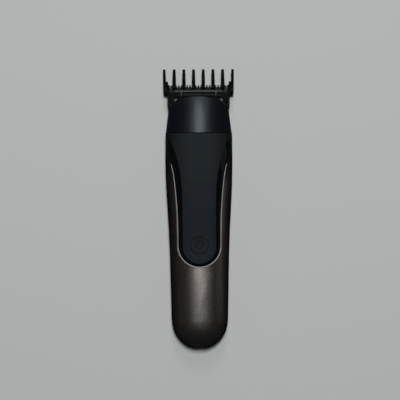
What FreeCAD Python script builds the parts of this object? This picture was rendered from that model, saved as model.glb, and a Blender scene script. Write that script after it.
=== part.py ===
import FreeCAD, Part
import math
import os

# A cordless beard trimmer lying on its back, in millimetres. X is across, Y runs along the trimmer from the
# tail to the cutting head, and Z is up, out of the face that carries the power button. Everything is drawn
# with the tail end at Y 0 and the rest plane at Z 0, and moved on export so that the origin is the centre
# of the flat land that the trimmer lies on.
V = FreeCAD.Vector
X_AXIS = V(1, 0, 0)
Y_AXIS = V(0, 1, 0)
Z_AXIS = V(0, 0, 1)

# ---- the outer form -----------------------------------------------------------------------------------
tail_length = 18.0            # length of the rounded tail end
seam_along = 129.0            # where the handle ends and the head begins
collar_length = 17.0          # from the widest place to the seam
head_length = 22.0            # from the seam to the highest point of the head shell's rim
waterline = 14.0              # height of the widest line of the form, where the two shells part
rest_centre_along = 68.0      # centre of the flat land on the back, from the tail end

tail_half_width = 16.9
grip_half_width = 17.9
shoulder_half_width = 20.1
head_side_margin = 0.5        # the head's half width at its rim, beyond the blade's
tail_front = 26.2             # heights of the front face above the rest plane
grip_front = 28.0
shoulder_front = 28.8
head_front = 20.4
tail_back = 0.2               # heights of the back; what lies below zero is cut off to make the land
grip_back = -0.6
shoulder_back = 0.3
head_back = 6.6
tail_fullness = 0.60          # how full the section's corners are: 0.55 is an ellipse, 1 nearly a rectangle
shoulder_fullness = 0.73
tail_stations = (10, 22, 34, 47, 61, 75)   # degrees round the tail's end where the form has a section
body_stations = 10            # bands along the rest of the form
grip_setback = 11.5           # the slim grip lies this far behind the middle between tail and seam
grip_back_span = 20.0         # the back stays nearly flat this far each way from there
head_taper_length = 7.6       # length over which the head's sides draw in to its rim
grip_back_rise = 0.1
seam_narrowing = 0.1
seam_front_drop = 0.6         # how far front and back have closed in where the head starts
seam_back_rise = 1.4
quarter_pieces = 6            # faces in each quarter of a band

shell_wall = 2.0
form_overrun = 4.0            # how far the form runs on past the head's rim, to be trimmed off
over = 1.0                    # a solid that cuts or trims another runs this far past it

# ---- the front panel ----------------------------------------------------------------------------------
panel_end_along = 49.1        # lowest point of the panel
panel_half_width = 13.3       # where the panel's round end meets its sides
panel_neck_along = 108.6      # where the panel starts to flare into the collar
panel_neck_half_width = 16.0
collar_offset = 2.2           # the panel reaches its full width this far past the middle of its flare
panel_bow = 0.15              # its sides bow out by this much, this far below their middle
panel_bow_offset = 8.0
panel_narrowing_length = 13.0
panel_narrowing_sag = 0.25
panel_flare_length = 6.4      # a point on the flare, from the neck
panel_flare_spread = 2.2
trim_width = 1.0
trim_tip_width = 0.4
trim_proud = 0.25
trim_top_along = 111.0
panel_overrun = 6.0           # how far the panel's outline runs past the seam, to be trimmed off
pad_border = 3.4              # gloss border between the panel's edge and the soft pad
pad_end_border = 2.6
pad_neck_inset = 0.8          # points on the pad's flare, from the neck
pad_flare_length = 7.2
pad_flare_spread = 1.0
pad_shoulder_length = 12.4
pad_shoulder_inset = 0.6
pad_overrun = 0.6             # the pad's outline runs this far past the seam and the widest line
pad_proud = 0.45
pad_depth = 0.9               # thickness of the pad below the panel's surface
ledge_width = 1.3             # rabbet in the rear housing that the panel's edge lies on
ledge_thickness = 1.2
rib_thickness = 1.2           # ribs on the floor of the rear housing, each side of the chassis's keel
rib_length = 8.0
rib_height = 2.8
rib_inset = 10.0              # from the battery's ends to the ribs
rib_floor = 0.5               # they start inside the housing's floor
rib_play = 0.1

# ---- power button and switch --------------------------------------------------------------------------
button_along = 62.8
button_radius = 5.4
button_clearance = 0.15
button_travel = 0.5
button_dish_radius = 4.4
button_dish_depth = 0.4
button_flange_width = 1.1
button_flange_thickness = 0.8
button_flange_gap = 0.95      # between the flange and the inner side of the panel
button_chamfer = 0.25
stem_radius = 1.8
switch_size = 6.0
switch_height = 2.2
switch_floor = 0.4
switch_corner_radius = 0.4
plunger_radius = 1.5
plunger_height = 0.7
touch_gap = 0.05              # air between pieces that meet when pressed

# ---- battery, board and socket ------------------------------------------------------------------------
battery_radius = 7.0
battery_length = 50.0
battery_start_along = 30.0
battery_nub_radius = 2.8
battery_nub_length = 1.0
battery_clearance = 0.1
battery_chamfer = 0.4
battery_floor_gap = 0.5       # between the keel and the cell, which the saddles carry
board_over_battery = 0.7      # air between the cell and the board
keel_half_width = 5.5
keel_thickness = 2.0
keel_height = 1.6
chassis_clearance = 0.1
saddle_half_width = 9.4
saddle_thickness = 3.0
saddle_inset = 3.0            # from the battery's ends to the outer saddles
keel_overrun = 6.0            # the keel runs on this far past the battery's end
keel_motor_gap = 2.0
end_stop_thickness = 2.0
board_thickness = 1.0
board_half_width = 8.2
board_start_along = 34.0
board_end_along = 90.0
board_corner_radius = 1.5
light_half_width = 0.8
light_length = 1.2
light_height = 0.8
light_gap = 0.6               # from the switch to the indicator light
tab_thickness = 0.3
tab_half_width = 2.5
tab_drop = 2.0                # the tabs reach this far below the cell's axis
socket_radius = 4.0
socket_face_along = 1.1
socket_bore_radius = 1.75
socket_barrel_wall = 0.45
socket_depth = 9.5
socket_pin_radius = 0.5
socket_block_half_width = 4.6
socket_block_rise = 3.6       # its top lies this far above the jack's axis
grommet_length = 2.4
socket_seat_length = 2.0      # how far the ring that holds the grommet runs on behind it
socket_seat_wall = 1.6
socket_recess = 0.3           # the jack's mouth lies this far inside the grommet's face
socket_nose_wall = 0.6
socket_block_wall = 2.5       # behind the barrel
socket_floor = 0.8
socket_pin_recess = 2.0
socket_pin_chamfer = 0.2
mouth_flare = 1.0
mouth_depth = 0.6

# ---- motor and drive ----------------------------------------------------------------------------------
motor_radius = 10.2
motor_flat_half = 7.7
motor_length = 28.0
motor_drop = 1.4              # the motor lies this far below the waterline
motor_boss_radius = 3.1
motor_boss_length = 1.5
motor_cap_length = 3.0
motor_chamfer = 0.6
motor_cap_step = 0.8          # the end cap is this much smaller than the can all round
motor_screw_depth = 3.0
tag_half_thickness = 0.3
tag_half_height = 1.2
tag_length = 2.0
tag_seat = 2.2
shaft_radius = 1.0
shaft_clearance = 0.05
plate_thickness = 2.5
plate_depth = 2.0             # how far the neck plate's top lies below the seam
neck_height = 4.5             # how far the neck stands up into the head
neck_wall = 1.6
neck_inset = 2.9              # from the form's surface at the seam to the neck
neck_clearance = 0.3
seat_clearance = 0.05         # between pieces that are pushed or screwed together for good
cam_radius = 3.7
cam_length = 4.0
cam_gap = 1.5
eccentricity = 0.9
drive_pin_radius = 1.0
pin_reach = 3.0               # how far the pin reaches into the yoke's slot
pin_seat = 1.5                # depth of the pin's hole in the cam
pin_chamfer = 0.3
hub_step = 1.0                # the cam's hub is this much smaller than its counterweight
weight_edge = 0.6             # the counterweight ends this far past the axis, on the pin's side
screw_radius = 1.0
screw_head_radius = 1.8
screw_head_length = 1.3
screw_fit = 0.02
screw_play = 0.2              # room at a screw's end, and round its head
motor_screw_offset = 6.2
lead_radius = 0.6
lead_bend = 1.5
lead_run = 4.0                # length that lies on the board
housing_screw_offset = 13.8
housing_screw_drop = 3.6
housing_screw_length = 12.0
boss_radius = 2.4
pilot_floor = 2.0             # the screws' pilot holes stop this far short of the bosses' ends

# ---- cutting head -------------------------------------------------------------------------------------
seam_gap = 0.4
bore_depth = 5.0              # depth of the head's straight bore over the neck
bore_lap = 0.2                # the hollow above it starts this far inside it
rim_corner_inset = 5.1        # from the head's side to where the rim's long arc meets its corner
rim_corner_drop = 1.5
rim_side_drop = 7.0
rim_corner_bulge = 1.6
core_half_width = 15.9        # the head's hollow where it starts, at the end of the bore
core_back = 4.9
core_front = 24.4
core_corner = 5.0
core_rim_inset = 2.6          # and where it ends, past the rim
core_rim_back = 9.2
core_rim_front = 17.4
core_rim_corner = 3.6
blade_tilt = 8.0              # degrees that the blade leans towards the back
blade_root_setback = 1.0      # the blade root lies this far behind the front of the rim
blade_face = 12.2             # height of the fixed blade's skin side at its root
blade_half_width = 17.0
blade_tip_reach = 8.4         # from the blade root to the tips of the fixed blade's teeth
blade_tail_reach = 4.5        # how far the fixed blade runs back into the head
fixed_blade_thickness = 1.0
blade_gap = 0.03
guard_tooth_width = 1.8
fixed_tooth_count = 17
fixed_tooth_share = 0.60      # how much of the pitch a tooth fills
fixed_tooth_length = 3.0
tooth_point_length = 0.8
tooth_point_share = 0.16      # how much of the pitch each side of a point takes off
fixed_grind_depth = 0.8
fixed_grind_length = 2.0
blade_corner = 0.9            # cut off the guard teeth's corners
blade_shoulder_setback = 1.6  # behind the root the blade narrows to its tail
blade_tail_step = 4.4
moving_blade_inset = 1.6      # the cutter is this much narrower than the fixed blade, at each side
moving_blade_thickness = 0.9
moving_blade_setback = 1.3    # the moving teeth stop this far short of the fixed ones
moving_blade_depth = 6.2
moving_tooth_count = 21
moving_tooth_share = 0.62
moving_tooth_length = 2.2
moving_grind_depth = 0.8
moving_grind_length = 2.4
cutter_travel = 0.8           # each way from the middle
guide_inset = 2.4             # and its guide this much narrower than the cutter
guide_depth = 3.0
guide_height = 2.6
guide_reach = 0.9             # the guide's rear edge, ahead of the blade root
guide_chamfer = 0.9
guide_groove_reach = 5        # grooves each side of the middle one
guide_groove_pitch = 1.7
guide_groove_half = 0.35
guide_groove_depth = 0.5
notch_play = 0.3
spring_wire_radius = 0.4
spring_arm_inset = 2.65       # from the guide's end to the spring's arm
spring_tip_reach = 3.5
spring_bend_radius = 1.6
spring_bar_setback = 7.6
wire_sink = 0.3               # the wire's axis lies this far below the cutter guide's top
pocket_play = 0.4             # round the yoke, in its pocket in the carrier
yoke_half_width = 4.6
yoke_thickness = 1.6
yoke_block_length = 4.6
yoke_play = 0.3
yoke_depth = 4.6              # the yoke's block reaches this far below the motor's axis
yoke_floor = 1.2              # thickness of the block under its slot
yoke_arm_step = 1.4           # the arm is this much narrower than the block, at each side
yoke_gap = 0.3                # under the arm, over the moving blade
yoke_setback = 1.6            # from the blade's tail to the block
carrier_thickness = 3.4
carrier_tip_reach = 2.8
bed_margin = 1.0              # the blade overhangs its bed by this much
post_half_length = 1.4        # posts that hold the spring's bar
post_lip = 0.5                # height of the posts over the wire
post_gap = 1.0                # between a post and the yoke at the end of its travel
blade_screw_inset = 3.4       # from the blade's side
blade_screw_setback = 0.9
blade_screw_radius = 0.8
blade_screw_depth = 2.2       # into the carrier, below the blade's skin side
blade_screw_head_radius = 1.3
blade_screw_head_height = 0.8
blade_screw_head_taper = 0.4
blade_screw_turn = 35.0       # degrees that the slot of the right screw is turned

# ---- guide comb ---------------------------------------------------------------------------------------
outer_fin_offset = 3.475      # the end fins stand this far outside the blade's sides
fin_count = 8
fin_thickness = 2.1
fin_tip_thickness = 1.7
outer_fin_thickness = 1.5
outer_fin_splay = 0.4
fin_tip_reach = 18.8          # from the blade root to the fins' tips
fin_nose_depth = 4.8          # from the blade's skin side to the bottom of the fins' tips
comb_skin_depth = 6.8         # from the blade's skin side to the surface that glides on the skin
comb_arm_clearance = 0.2
comb_arm_thickness = 1.4
comb_arm_setback = 6.0        # how far the arms reach back from the blade root
comb_arm_rise = 4.6
comb_step_reach = 3.6         # where the comb steps out from its arms to the outer fins
comb_cheek_reach = 8.0        # the corner steps up twice beside the outer fin
comb_corner_reach = 10.4
comb_corner_offset = 1.3
comb_plate_thickness = 1.3
comb_back_start = 1.7         # the back plate and the fins start this far ahead of the blade root
comb_plate_reach = 4.0
comb_clearance = 0.5
arm_lead_depth = 0.6          # the arms' free ends are tapered for leading them on
arm_lead_length = 1.8
gusset_width = 0.4            # the small web where an arm steps out
gusset_length = 1.4
comb_cheek_rise = 0.6         # the corner blocks start this far above the skin surface
comb_cheek_height = 0.9
comb_corner_drop = 1.2
outer_fin_inset = 0.2
fin_nose_radius = 3.0
fin_brow_setback = 0.5        # points that the fins' rounded ends pass through, from the tip
fin_brow_rise = 1.4
fin_crest_setback = 2.2
fin_crest_rise = 2.0
fin_chin_setback = 1.8
fin_belly_reach = 11.0        # where the skin surface starts to curve up, from the blade root
fin_hook_reach = 6.8          # the fins' rear ends in front of the moving blade
fin_hook_height = 1.3
fin_hook_bulge = 0.8
fin_bridge = 0.7              # slope between the fins' back and their slot for the blade
rail_height = 1.2
rail_depth = 0.6
rail_drop = 3.4               # from the blade's skin side down to the rail's lower side
rail_play = 0.2               # between the rail and its groove, all round
rail_setback = 1.4            # from the arm's end to the rail's

# ---- values that follow from the ones above -----------------------------------------------------------
rim_along = seam_along + head_length
blade_root_along = rim_along - blade_root_setback
plate_top_along = seam_along - plate_depth
plate_bottom_along = plate_top_along - plate_thickness
cam_start = plate_top_along + cam_gap
cam_end = cam_start + cam_length
motor_back_along = plate_bottom_along - motor_length - motor_cap_length
motor_height = waterline - motor_drop
socket_barrel_radius = socket_bore_radius + socket_barrel_wall
panel_arc_along = panel_end_along + panel_half_width
collar_along = (panel_neck_along + seam_along) / 2 + collar_offset
beyond = shoulder_half_width + 3 * over
ceiling = shoulder_front + 8 * over
far_along = 2 * rim_along
yoke_end_along = blade_root_along - blade_tail_reach - yoke_setback
yoke_start_along = yoke_end_along - yoke_block_length
drive_pin_length = yoke_start_along + pin_reach - cam_end
head_half_width = blade_half_width + head_side_margin
rim_corner_half_width = head_half_width - rim_corner_inset
core_rim_half_width = head_half_width - core_rim_inset
moving_blade_half_width = blade_half_width - moving_blade_inset
guide_half_width = moving_blade_half_width - guide_inset
spring_arm_offset = guide_half_width - spring_arm_inset
blade_screw_offset = blade_half_width - blade_screw_inset
comb_corner_half_width = blade_half_width + comb_corner_offset
fin_pitch = 2 * (blade_half_width + outer_fin_offset) / (fin_count - 1)
moving_blade_face = blade_face + fixed_blade_thickness + blade_gap
guide_base = moving_blade_face + moving_blade_thickness
guide_top = guide_base + guide_height
comb_skin = blade_face - comb_skin_depth
wire_height = guide_top - wire_sink
blade_tip_along = blade_root_along + blade_tip_reach
battery_height = keel_height + keel_thickness + battery_floor_gap + battery_radius
board_height = battery_height + battery_radius + board_over_battery
board_top = board_height + board_thickness
battery_end_along = battery_start_along + battery_length


# ---- small helpers ------------------------------------------------------------------------------------
def block(x0, x1, y0, y1, z0, z1):
    return Part.makeBox(x1 - x0, y1 - y0, z1 - z0, V(x0, y0, z0))


def rod(x, z, y0, y1, radius):
    """A round bar along Y."""
    return Part.makeCylinder(radius, y1 - y0, V(x, y0, z), Y_AXIS)


def peg(x, y, z0, z1, radius):
    """A round bar along Z."""
    return Part.makeCylinder(radius, z1 - z0, V(x, y, z0), Z_AXIS)


def mirrored(shape):
    return shape.mirror(V(0, 0, 0), X_AXIS)


def both_sides(shape):
    return Part.makeCompound([shape, mirrored(shape)])


def fused(first, *others):
    return first.fuse(list(others)).removeSplitter()


def upright_edges(shape):
    return [edge for edge in shape.Edges if abs(edge.tangentAt(0).z) > 0.9]


def solids_only(shape):
    """The shape's solids, one solid by itself or several in a compound."""
    solids = shape.Solids
    return solids[0] if len(solids) == 1 else Part.makeCompound(solids)


def plate(points, z0, z1):
    """A flat plate whose outline has straight edges through the points (x, y)."""
    corners = [V(x, y, z0) for x, y in points]
    face = Part.Face(Part.makePolygon(corners + corners[:1]))
    return face.extrude(V(0, 0, z1 - z0))


def smooth(table, along):
    """Reads a table of (along, value) rows as one smooth curve with no overshoot between its rows."""
    if along <= table[0][0]:
        return table[0][1]
    if along >= table[-1][0]:
        (a0, v0), (a1, v1) = table[-2:]
        return v1 + (v1 - v0) / (a1 - a0) * (along - a1)
    rises = [(v1 - v0) / (a1 - a0) for (a0, v0), (a1, v1) in zip(table, table[1:])]
    slopes = [rises[0]]
    for before, after in zip(rises, rises[1:]):
        slopes.append(2 * before * after / (before + after) if before * after > 0 else 0.0)
    slopes.append(rises[-1])
    for row, ((a0, v0), (a1, v1)) in enumerate(zip(table, table[1:])):
        if along <= a1:
            span = a1 - a0
            t = (along - a0) / span
            start = (1 + 2 * t) * (1 - t) ** 2 * v0 + t * (1 - t) ** 2 * span * slopes[row]
            end = t * t * (3 - 2 * t) * v1 + t * t * (t - 1) * span * slopes[row + 1]
            return start + end


# ---- the outer form and its offsets -------------------------------------------------------------------
grip_along = (tail_length + seam_along) / 2 - grip_setback
shoulder_along = seam_along - collar_length
half_widths = [
    (tail_length, tail_half_width),
    (grip_along, grip_half_width),
    (shoulder_along, shoulder_half_width),
    (seam_along, shoulder_half_width - seam_narrowing),
    (rim_along - head_taper_length, head_half_width + 0.5),
    (rim_along, head_half_width),
]
fronts = [
    (tail_length, tail_front),
    (grip_along, grip_front),
    (shoulder_along, shoulder_front),
    (seam_along, shoulder_front - seam_front_drop),
    (rim_along, head_front),
]
backs = [
    (tail_length, tail_back),
    (grip_along - grip_back_span, grip_back + grip_back_rise),
    (grip_along + grip_back_span, grip_back),
    (shoulder_along, shoulder_back),
    (seam_along, shoulder_back + seam_back_rise),
    (rim_along, head_back),
]
fullnesses = [
    (tail_length, tail_fullness),
    (shoulder_along, shoulder_fullness),
    (rim_along, shoulder_fullness),
]


def section(along, shrink, grow, faceted=False):
    """One closed section of the form across Y, scaled by shrink about the waterline and grown outwards."""
    half_width = (smooth(half_widths, along) + grow) * shrink
    front = (smooth(fronts, along) - waterline + grow) * shrink
    back = (waterline - smooth(backs, along) + grow) * shrink
    fullness = smooth(fullnesses, along)
    corners = [V(half_width, 0, 0), V(0, 0, front), V(-half_width, 0, 0), V(0, 0, -back)]
    curves = []
    for start, end in zip(corners, corners[1:] + corners[:1]):
        quarter = Part.BezierCurve()
        quarter.setPoles([start, start + end * fullness, end + start * fullness, end])
        for piece in range(quarter_pieces):
            low = piece / quarter_pieces
            high = (piece + 1) / quarter_pieces
            curve = quarter.copy()
            curve.segment(low, high)
            chord = Part.LineSegment(quarter.value(low), quarter.value(high))
            curves.append((chord if faceted else curve).toShape())
    wire = Part.Wire(curves)
    wire.translate(V(0, 0, waterline))
    return wire


def form(grow, faceted=False):
    """The whole outer form as a solid, grown outwards by a distance, or inwards where that is negative."""
    wires = []
    for degrees in tail_stations:
        angle = math.radians(degrees)
        wire = section(tail_length, math.sin(angle), grow, faceted)
        wire.translate(V(0, tail_length - (tail_length + grow) * math.cos(angle), 0))
        wires.append(wire)
    end_along = rim_along + form_overrun
    for step in range(body_stations + 1):
        along = tail_length + (end_along - tail_length) * step / body_stations
        wire = section(along, 1.0, grow, faceted)
        wire.translate(V(0, along, 0))
        wires.append(wire)
    return Part.makeLoft(wires, True, True)


def core(inset):
    """The form shrunk by an inset, with flat facets: the inside of a moulded shell, as a core leaves it."""
    return form(-inset, True)


def spigot(inset, y0, y1):
    """A straight bar along Y with the section that the form has at the seam, shrunk by an inset."""
    wires = []
    for along in (y0, y1):
        wire = section(seam_along, 1.0, -inset, True)
        wire.translate(V(0, along, 0))
        wires.append(wire)
    return Part.makeLoft(wires, True, True)


def slab(y0, y1):
    """Everything between two planes across the trimmer."""
    return block(-beyond, beyond, y0, y1, -ceiling, ceiling)


def panel_prism(inset, tip_inset, top_along):
    """The panel's plan outline, shrunk by an inset that changes towards its neck, as an upright prism."""
    radius = panel_half_width - inset
    neck = panel_neck_half_width - tip_inset
    side = [
        V(radius, panel_arc_along, 0),
        V(radius + panel_bow, (panel_arc_along + panel_neck_along) / 2 - panel_bow_offset, 0),
        V((radius + neck) / 2 - panel_narrowing_sag, panel_neck_along - panel_narrowing_length, 0),
        V(neck, panel_neck_along, 0),
        V(neck + panel_flare_spread, panel_neck_along + panel_flare_length, 0),
        V(shoulder_half_width + 2 * over, collar_along, 0),
    ]
    right = Part.BSplineCurve()
    right.interpolate(side, InitialTangent=V(0, 1, 0), FinalTangent=V(1, 1, 0))
    left = mirrored(right.toShape())
    low = V(0, panel_arc_along - radius, 0)
    arc = Part.Arc(V(-radius, panel_arc_along, 0), low, side[0]).toShape()
    top_right = V(side[-1].x, top_along, 0)
    top_left = V(-side[-1].x, top_along, 0)
    lines = [
        Part.makeLine(side[-1], top_right),
        Part.makeLine(top_right, top_left),
        Part.makeLine(top_left, V(-side[-1].x, side[-1].y, 0)),
    ]
    wire = Part.Wire(Part.__sortEdges__([arc, right.toShape(), left, *lines]))
    prism = Part.Face(wire).extrude(V(0, 0, ceiling - waterline))
    prism.translate(V(0, 0, waterline))
    return prism


def pad_prism(shrink):
    """The soft pad's plan outline: a strip with a round end that flares out over the collar."""
    radius = panel_half_width - pad_border - shrink
    end_along = panel_end_along + pad_end_border + shrink
    neck = panel_neck_half_width - pad_border - shrink
    side = [
        V(radius, end_along + radius, 0),
        V(radius, (panel_arc_along + panel_neck_along) / 2, 0),
        V(neck - pad_neck_inset, panel_neck_along, 0),
        V(neck + pad_flare_spread, panel_neck_along + pad_flare_length, 0),
        V(panel_neck_half_width - pad_shoulder_inset - shrink, panel_neck_along + pad_shoulder_length, 0),
        V(shoulder_half_width + pad_overrun - shrink, seam_along + pad_overrun, 0),
    ]
    right = Part.BSplineCurve()
    right.interpolate(side, InitialTangent=V(0, 1, 0), FinalTangent=V(1, 1, 0))
    left = mirrored(right.toShape())
    arc = Part.Arc(V(-radius, side[0].y, 0), V(0, end_along, 0), side[0]).toShape()
    top = Part.makeLine(side[-1], V(-side[-1].x, side[-1].y, 0))
    wire = Part.Wire(Part.__sortEdges__([arc, right.toShape(), left, top]))
    prism = Part.Face(wire).extrude(V(0, 0, ceiling - waterline))
    prism.translate(V(0, 0, waterline))
    return prism


def leaned(shape):
    """Turns a piece drawn flat into the plane of the blade."""
    turned = shape.copy()
    turned.rotate(V(0, blade_root_along, blade_face), X_AXIS, -blade_tilt)
    return turned


outer_form = form(0)
cavity_form = core(shell_wall)
wall_middle = core(shell_wall / 2)    # inner features run this far into the wall that they grow from
panel_region = panel_prism(0, 0, seam_along + panel_overrun)
trim_ring_inner = panel_prism(trim_width, trim_tip_width, seam_along + panel_overrun)
trim_region = panel_region.cut(trim_ring_inner).common(slab(panel_end_along - over, trim_top_along))
handle_shell = outer_form.cut(cavity_form).common(slab(-over, seam_along))
handle_shell = handle_shell.common(block(-beyond, beyond, -over, seam_along, 0.0, ceiling))


# ---- handle -------------------------------------------------------------------------------------------
def make_rear_housing():
    """Painted shell: the back, the sides and the tail, with the rabbet that the front panel lies in."""
    shell = handle_shell.cut(panel_region)
    ledge_outer = panel_prism(-ledge_width, -ledge_width, seam_along + panel_overrun)
    inner_inset = trim_width + ledge_width
    ledge_inner = panel_prism(inner_inset, inner_inset, seam_along + panel_overrun)
    under = cavity_form.cut(core(shell_wall + ledge_thickness))
    ledge = under.common(ledge_outer).cut(ledge_inner)
    ledge = ledge.common(slab(panel_end_along - 2 * ledge_width, panel_neck_along + ledge_width))
    boss_start = plate_bottom_along - housing_screw_length
    boss_height = waterline - housing_screw_drop
    boss = rod(housing_screw_offset, boss_height, boss_start, plate_bottom_along, boss_radius)
    web = block(housing_screw_offset, shoulder_half_width, boss_start, plate_bottom_along,
                boss_height - boss_radius / 2, boss_height + boss_radius / 2)
    post = boss.fuse(web).common(wall_middle)
    pilot = rod(housing_screw_offset, boss_height, boss_start + pilot_floor, plate_bottom_along,
                screw_radius + screw_fit)
    post = post.cut(pilot)
    rib_start = keel_half_width + rib_play
    rib = block(rib_start, rib_start + rib_thickness, 0, rib_length, rib_floor, rib_height)
    ribs = []
    for along in (battery_start_along + rib_inset, battery_end_along - rib_inset - rib_length):
        placed = rib.copy()
        placed.translate(V(0, along, 0))
        ribs += [placed, mirrored(placed)]
    socket_hole = rod(0, waterline, -over, tail_length, socket_radius)
    seat_end = socket_face_along + grommet_length + socket_seat_length
    seat = rod(0, waterline, socket_face_along, seat_end, socket_radius + socket_seat_wall)
    seat = seat.common(wall_middle)
    housing = shell.fuse(ledge).fuse([post, mirrored(post)]).fuse(ribs).fuse(seat)
    return solids_only(housing.cut(socket_hole))


def make_front_housing():
    """Gloss black panel and collar, with the recess for the pad and the hole for the button."""
    panel = handle_shell.common(panel_region).cut(trim_region)
    recess = pad_prism(0).cut(core(pad_depth))
    hole = peg(0, button_along, waterline, ceiling, button_radius + button_clearance)
    return panel.cut(recess).cut(hole)


def make_trim_strip():
    """Bright strip that runs round the panel, standing a little proud of both shells."""
    band = form(trim_proud).cut(cavity_form)
    return band.common(trim_region)


def make_grip_pad():
    """Soft-touch pad moulded into the panel's recess."""
    layer = form(pad_proud).cut(core(pad_depth)).common(slab(-over, seam_along))
    hole = peg(0, button_along, waterline, ceiling, button_radius + button_clearance)
    return layer.common(pad_prism(0)).cut(hole)


def make_chassis():
    """Inner frame: a keel on the floor of the rear housing with saddles for the battery and the board."""
    keel_start = battery_start_along - keel_overrun
    keel_end = motor_back_along - keel_motor_gap
    frame = block(-keel_half_width, keel_half_width, keel_start, keel_end, keel_height,
                  keel_height + keel_thickness)
    saddles = []
    for along in (battery_start_along + saddle_inset, battery_start_along + battery_length / 2,
                  battery_end_along - saddle_inset - saddle_thickness):
        saddle = block(-saddle_half_width, saddle_half_width, along, along + saddle_thickness,
                       keel_height + keel_thickness / 2, board_height)
        saddles.append(saddle)
    end_stop = block(-keel_half_width, keel_half_width, keel_start, keel_start + end_stop_thickness,
                     keel_height, battery_height)
    far_stop = end_stop.copy()
    far_stop.translate(V(0, battery_length + 2 * keel_overrun - end_stop_thickness, 0))
    frame = fused(frame, end_stop, far_stop, *saddles)
    bed = rod(0, battery_height, battery_start_along - over, battery_end_along + over,
              battery_radius + battery_clearance)
    return frame.cut(bed).common(core(shell_wall + chassis_clearance))


def make_battery_cell():
    """Round lithium cell with its raised end cap."""
    cell = rod(0, battery_height, battery_start_along, battery_end_along, battery_radius)
    nub_end = battery_end_along + battery_nub_length
    nub = rod(0, battery_height, battery_end_along, nub_end, battery_nub_radius)
    rims = [edge for edge in cell.Edges if edge.isClosed()]
    return fused(cell.makeChamfer(battery_chamfer, rims), nub)


def make_battery_tabs():
    """Two nickel strips that carry the current from the cell's ends up to the board."""
    tabs = []
    for along, sense in ((battery_start_along, -1), (battery_end_along + battery_nub_length, 1)):
        y0 = min(along, along + sense * tab_thickness)
        strip = block(-tab_half_width, tab_half_width, y0, y0 + tab_thickness, battery_height - tab_drop,
                      board_height)
        tabs.append(strip)
    return Part.makeCompound(tabs)


def make_circuit_board():
    """Board on the saddles, rounded at its corners."""
    board = block(-board_half_width, board_half_width, board_start_along, board_end_along, board_height,
                  board_height + board_thickness)
    return board.makeFillet(board_corner_radius, upright_edges(board))


def on_board(x, along, half_width, length, height):
    """A block soldered on the board."""
    return block(x - half_width, x + half_width, along, along + length, board_top, board_top + height)


def make_board_parts():
    """The two chips, the capacitor and the two small parts soldered on the board."""
    controller = on_board(0, board_end_along - 15.0, half_width=2.5, length=5.0, height=0.9)
    charger = on_board(0, board_start_along + 6.0, half_width=3.2, length=7.0, height=1.6)
    capacitor = peg(5.2, board_start_along + 10.0, board_top, board_top + 3.0, radius=1.6)
    diode = on_board(5.2, button_along + 7.0, half_width=0.8, length=3.0, height=0.8)
    resistor = on_board(-5.4, button_along + 9.0, half_width=1.0, length=1.0, height=0.6)
    return Part.makeCompound([controller, charger, capacitor, diode, resistor])


def make_indicator_light():
    """Light-emitting chip beside the switch that shines through the button's symbol."""
    light_start = button_along + switch_size / 2 + light_gap
    return on_board(0, light_start, light_half_width, light_length, light_height)


def make_switch_body():
    """Square tactile switch with the well that its plunger sinks into."""
    half = switch_size / 2
    body = on_board(0, button_along - half, half, switch_size, switch_height)
    body = body.makeFillet(switch_corner_radius, upright_edges(body))
    well = peg(0, button_along, board_top + switch_floor, board_top + switch_height,
               plunger_radius + shaft_clearance)
    return body.cut(well)


def make_switch_plunger():
    """The switch's own key, with room below it for its travel."""
    bottom = board_top + switch_floor + button_travel + 2 * touch_gap
    return peg(0, button_along, bottom, board_top + switch_height + plunger_height, plunger_radius)


def make_power_button():
    """Dished round cap with a flange under the panel and a stem over the switch."""
    surface = smooth(fronts, button_along) + pad_proud
    flange_top = surface - pad_proud - shell_wall - button_flange_gap
    flange_bottom = flange_top - button_flange_thickness
    cap = peg(0, button_along, flange_bottom, surface, button_radius)
    rim = [edge for edge in cap.Edges if edge.isClosed() and edge.CenterOfMass.z > surface - touch_gap]
    cap = cap.makeChamfer(button_chamfer, rim)
    dish_floor = surface - button_dish_depth
    dish = Part.makeCone(button_dish_radius / 2, button_dish_radius, button_dish_depth,
                         V(0, button_along, dish_floor), Z_AXIS)
    flange = peg(0, button_along, flange_bottom, flange_top, button_radius + button_flange_width)
    stem_end = board_top + switch_height + plunger_height + touch_gap
    stem = peg(0, button_along, stem_end, flange_top, stem_radius)
    return fused(cap.cut(dish), flange, stem)


def make_charging_socket():
    """Round jack: a moulded block behind the tail with the opening for the plug."""
    start = socket_face_along + grommet_length + socket_seat_length
    body = block(-socket_block_half_width, socket_block_half_width, start,
                 socket_face_along + socket_depth + socket_block_wall, waterline - socket_block_half_width,
                 waterline + socket_block_rise)
    body = body.common(core(shell_wall + chassis_clearance))
    nose = rod(0, waterline, socket_face_along + socket_recess, start + over,
               socket_barrel_radius + socket_nose_wall)
    barrel_end = socket_face_along + socket_depth
    outer = rod(0, waterline, socket_face_along - over, barrel_end, socket_barrel_radius)
    return fused(body, nose).cut(outer)


def make_socket_barrel():
    """Plated sleeve that the plug slides into."""
    tube = rod(0, waterline, socket_face_along + socket_recess, socket_face_along + socket_depth,
               socket_barrel_radius)
    bore = rod(0, waterline, socket_face_along - over, socket_face_along + socket_depth - socket_floor,
               socket_bore_radius)
    return tube.cut(bore)


def make_socket_pin():
    """Centre contact of the jack, with a rounded nose."""
    end = socket_face_along + socket_depth - socket_floor
    pin = rod(0, waterline, socket_face_along + socket_pin_recess, end, socket_pin_radius)
    nose = [edge for edge in pin.Edges if edge.isClosed() and edge.CenterOfMass.y < end - over]
    return pin.makeChamfer(socket_pin_chamfer, nose)


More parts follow.
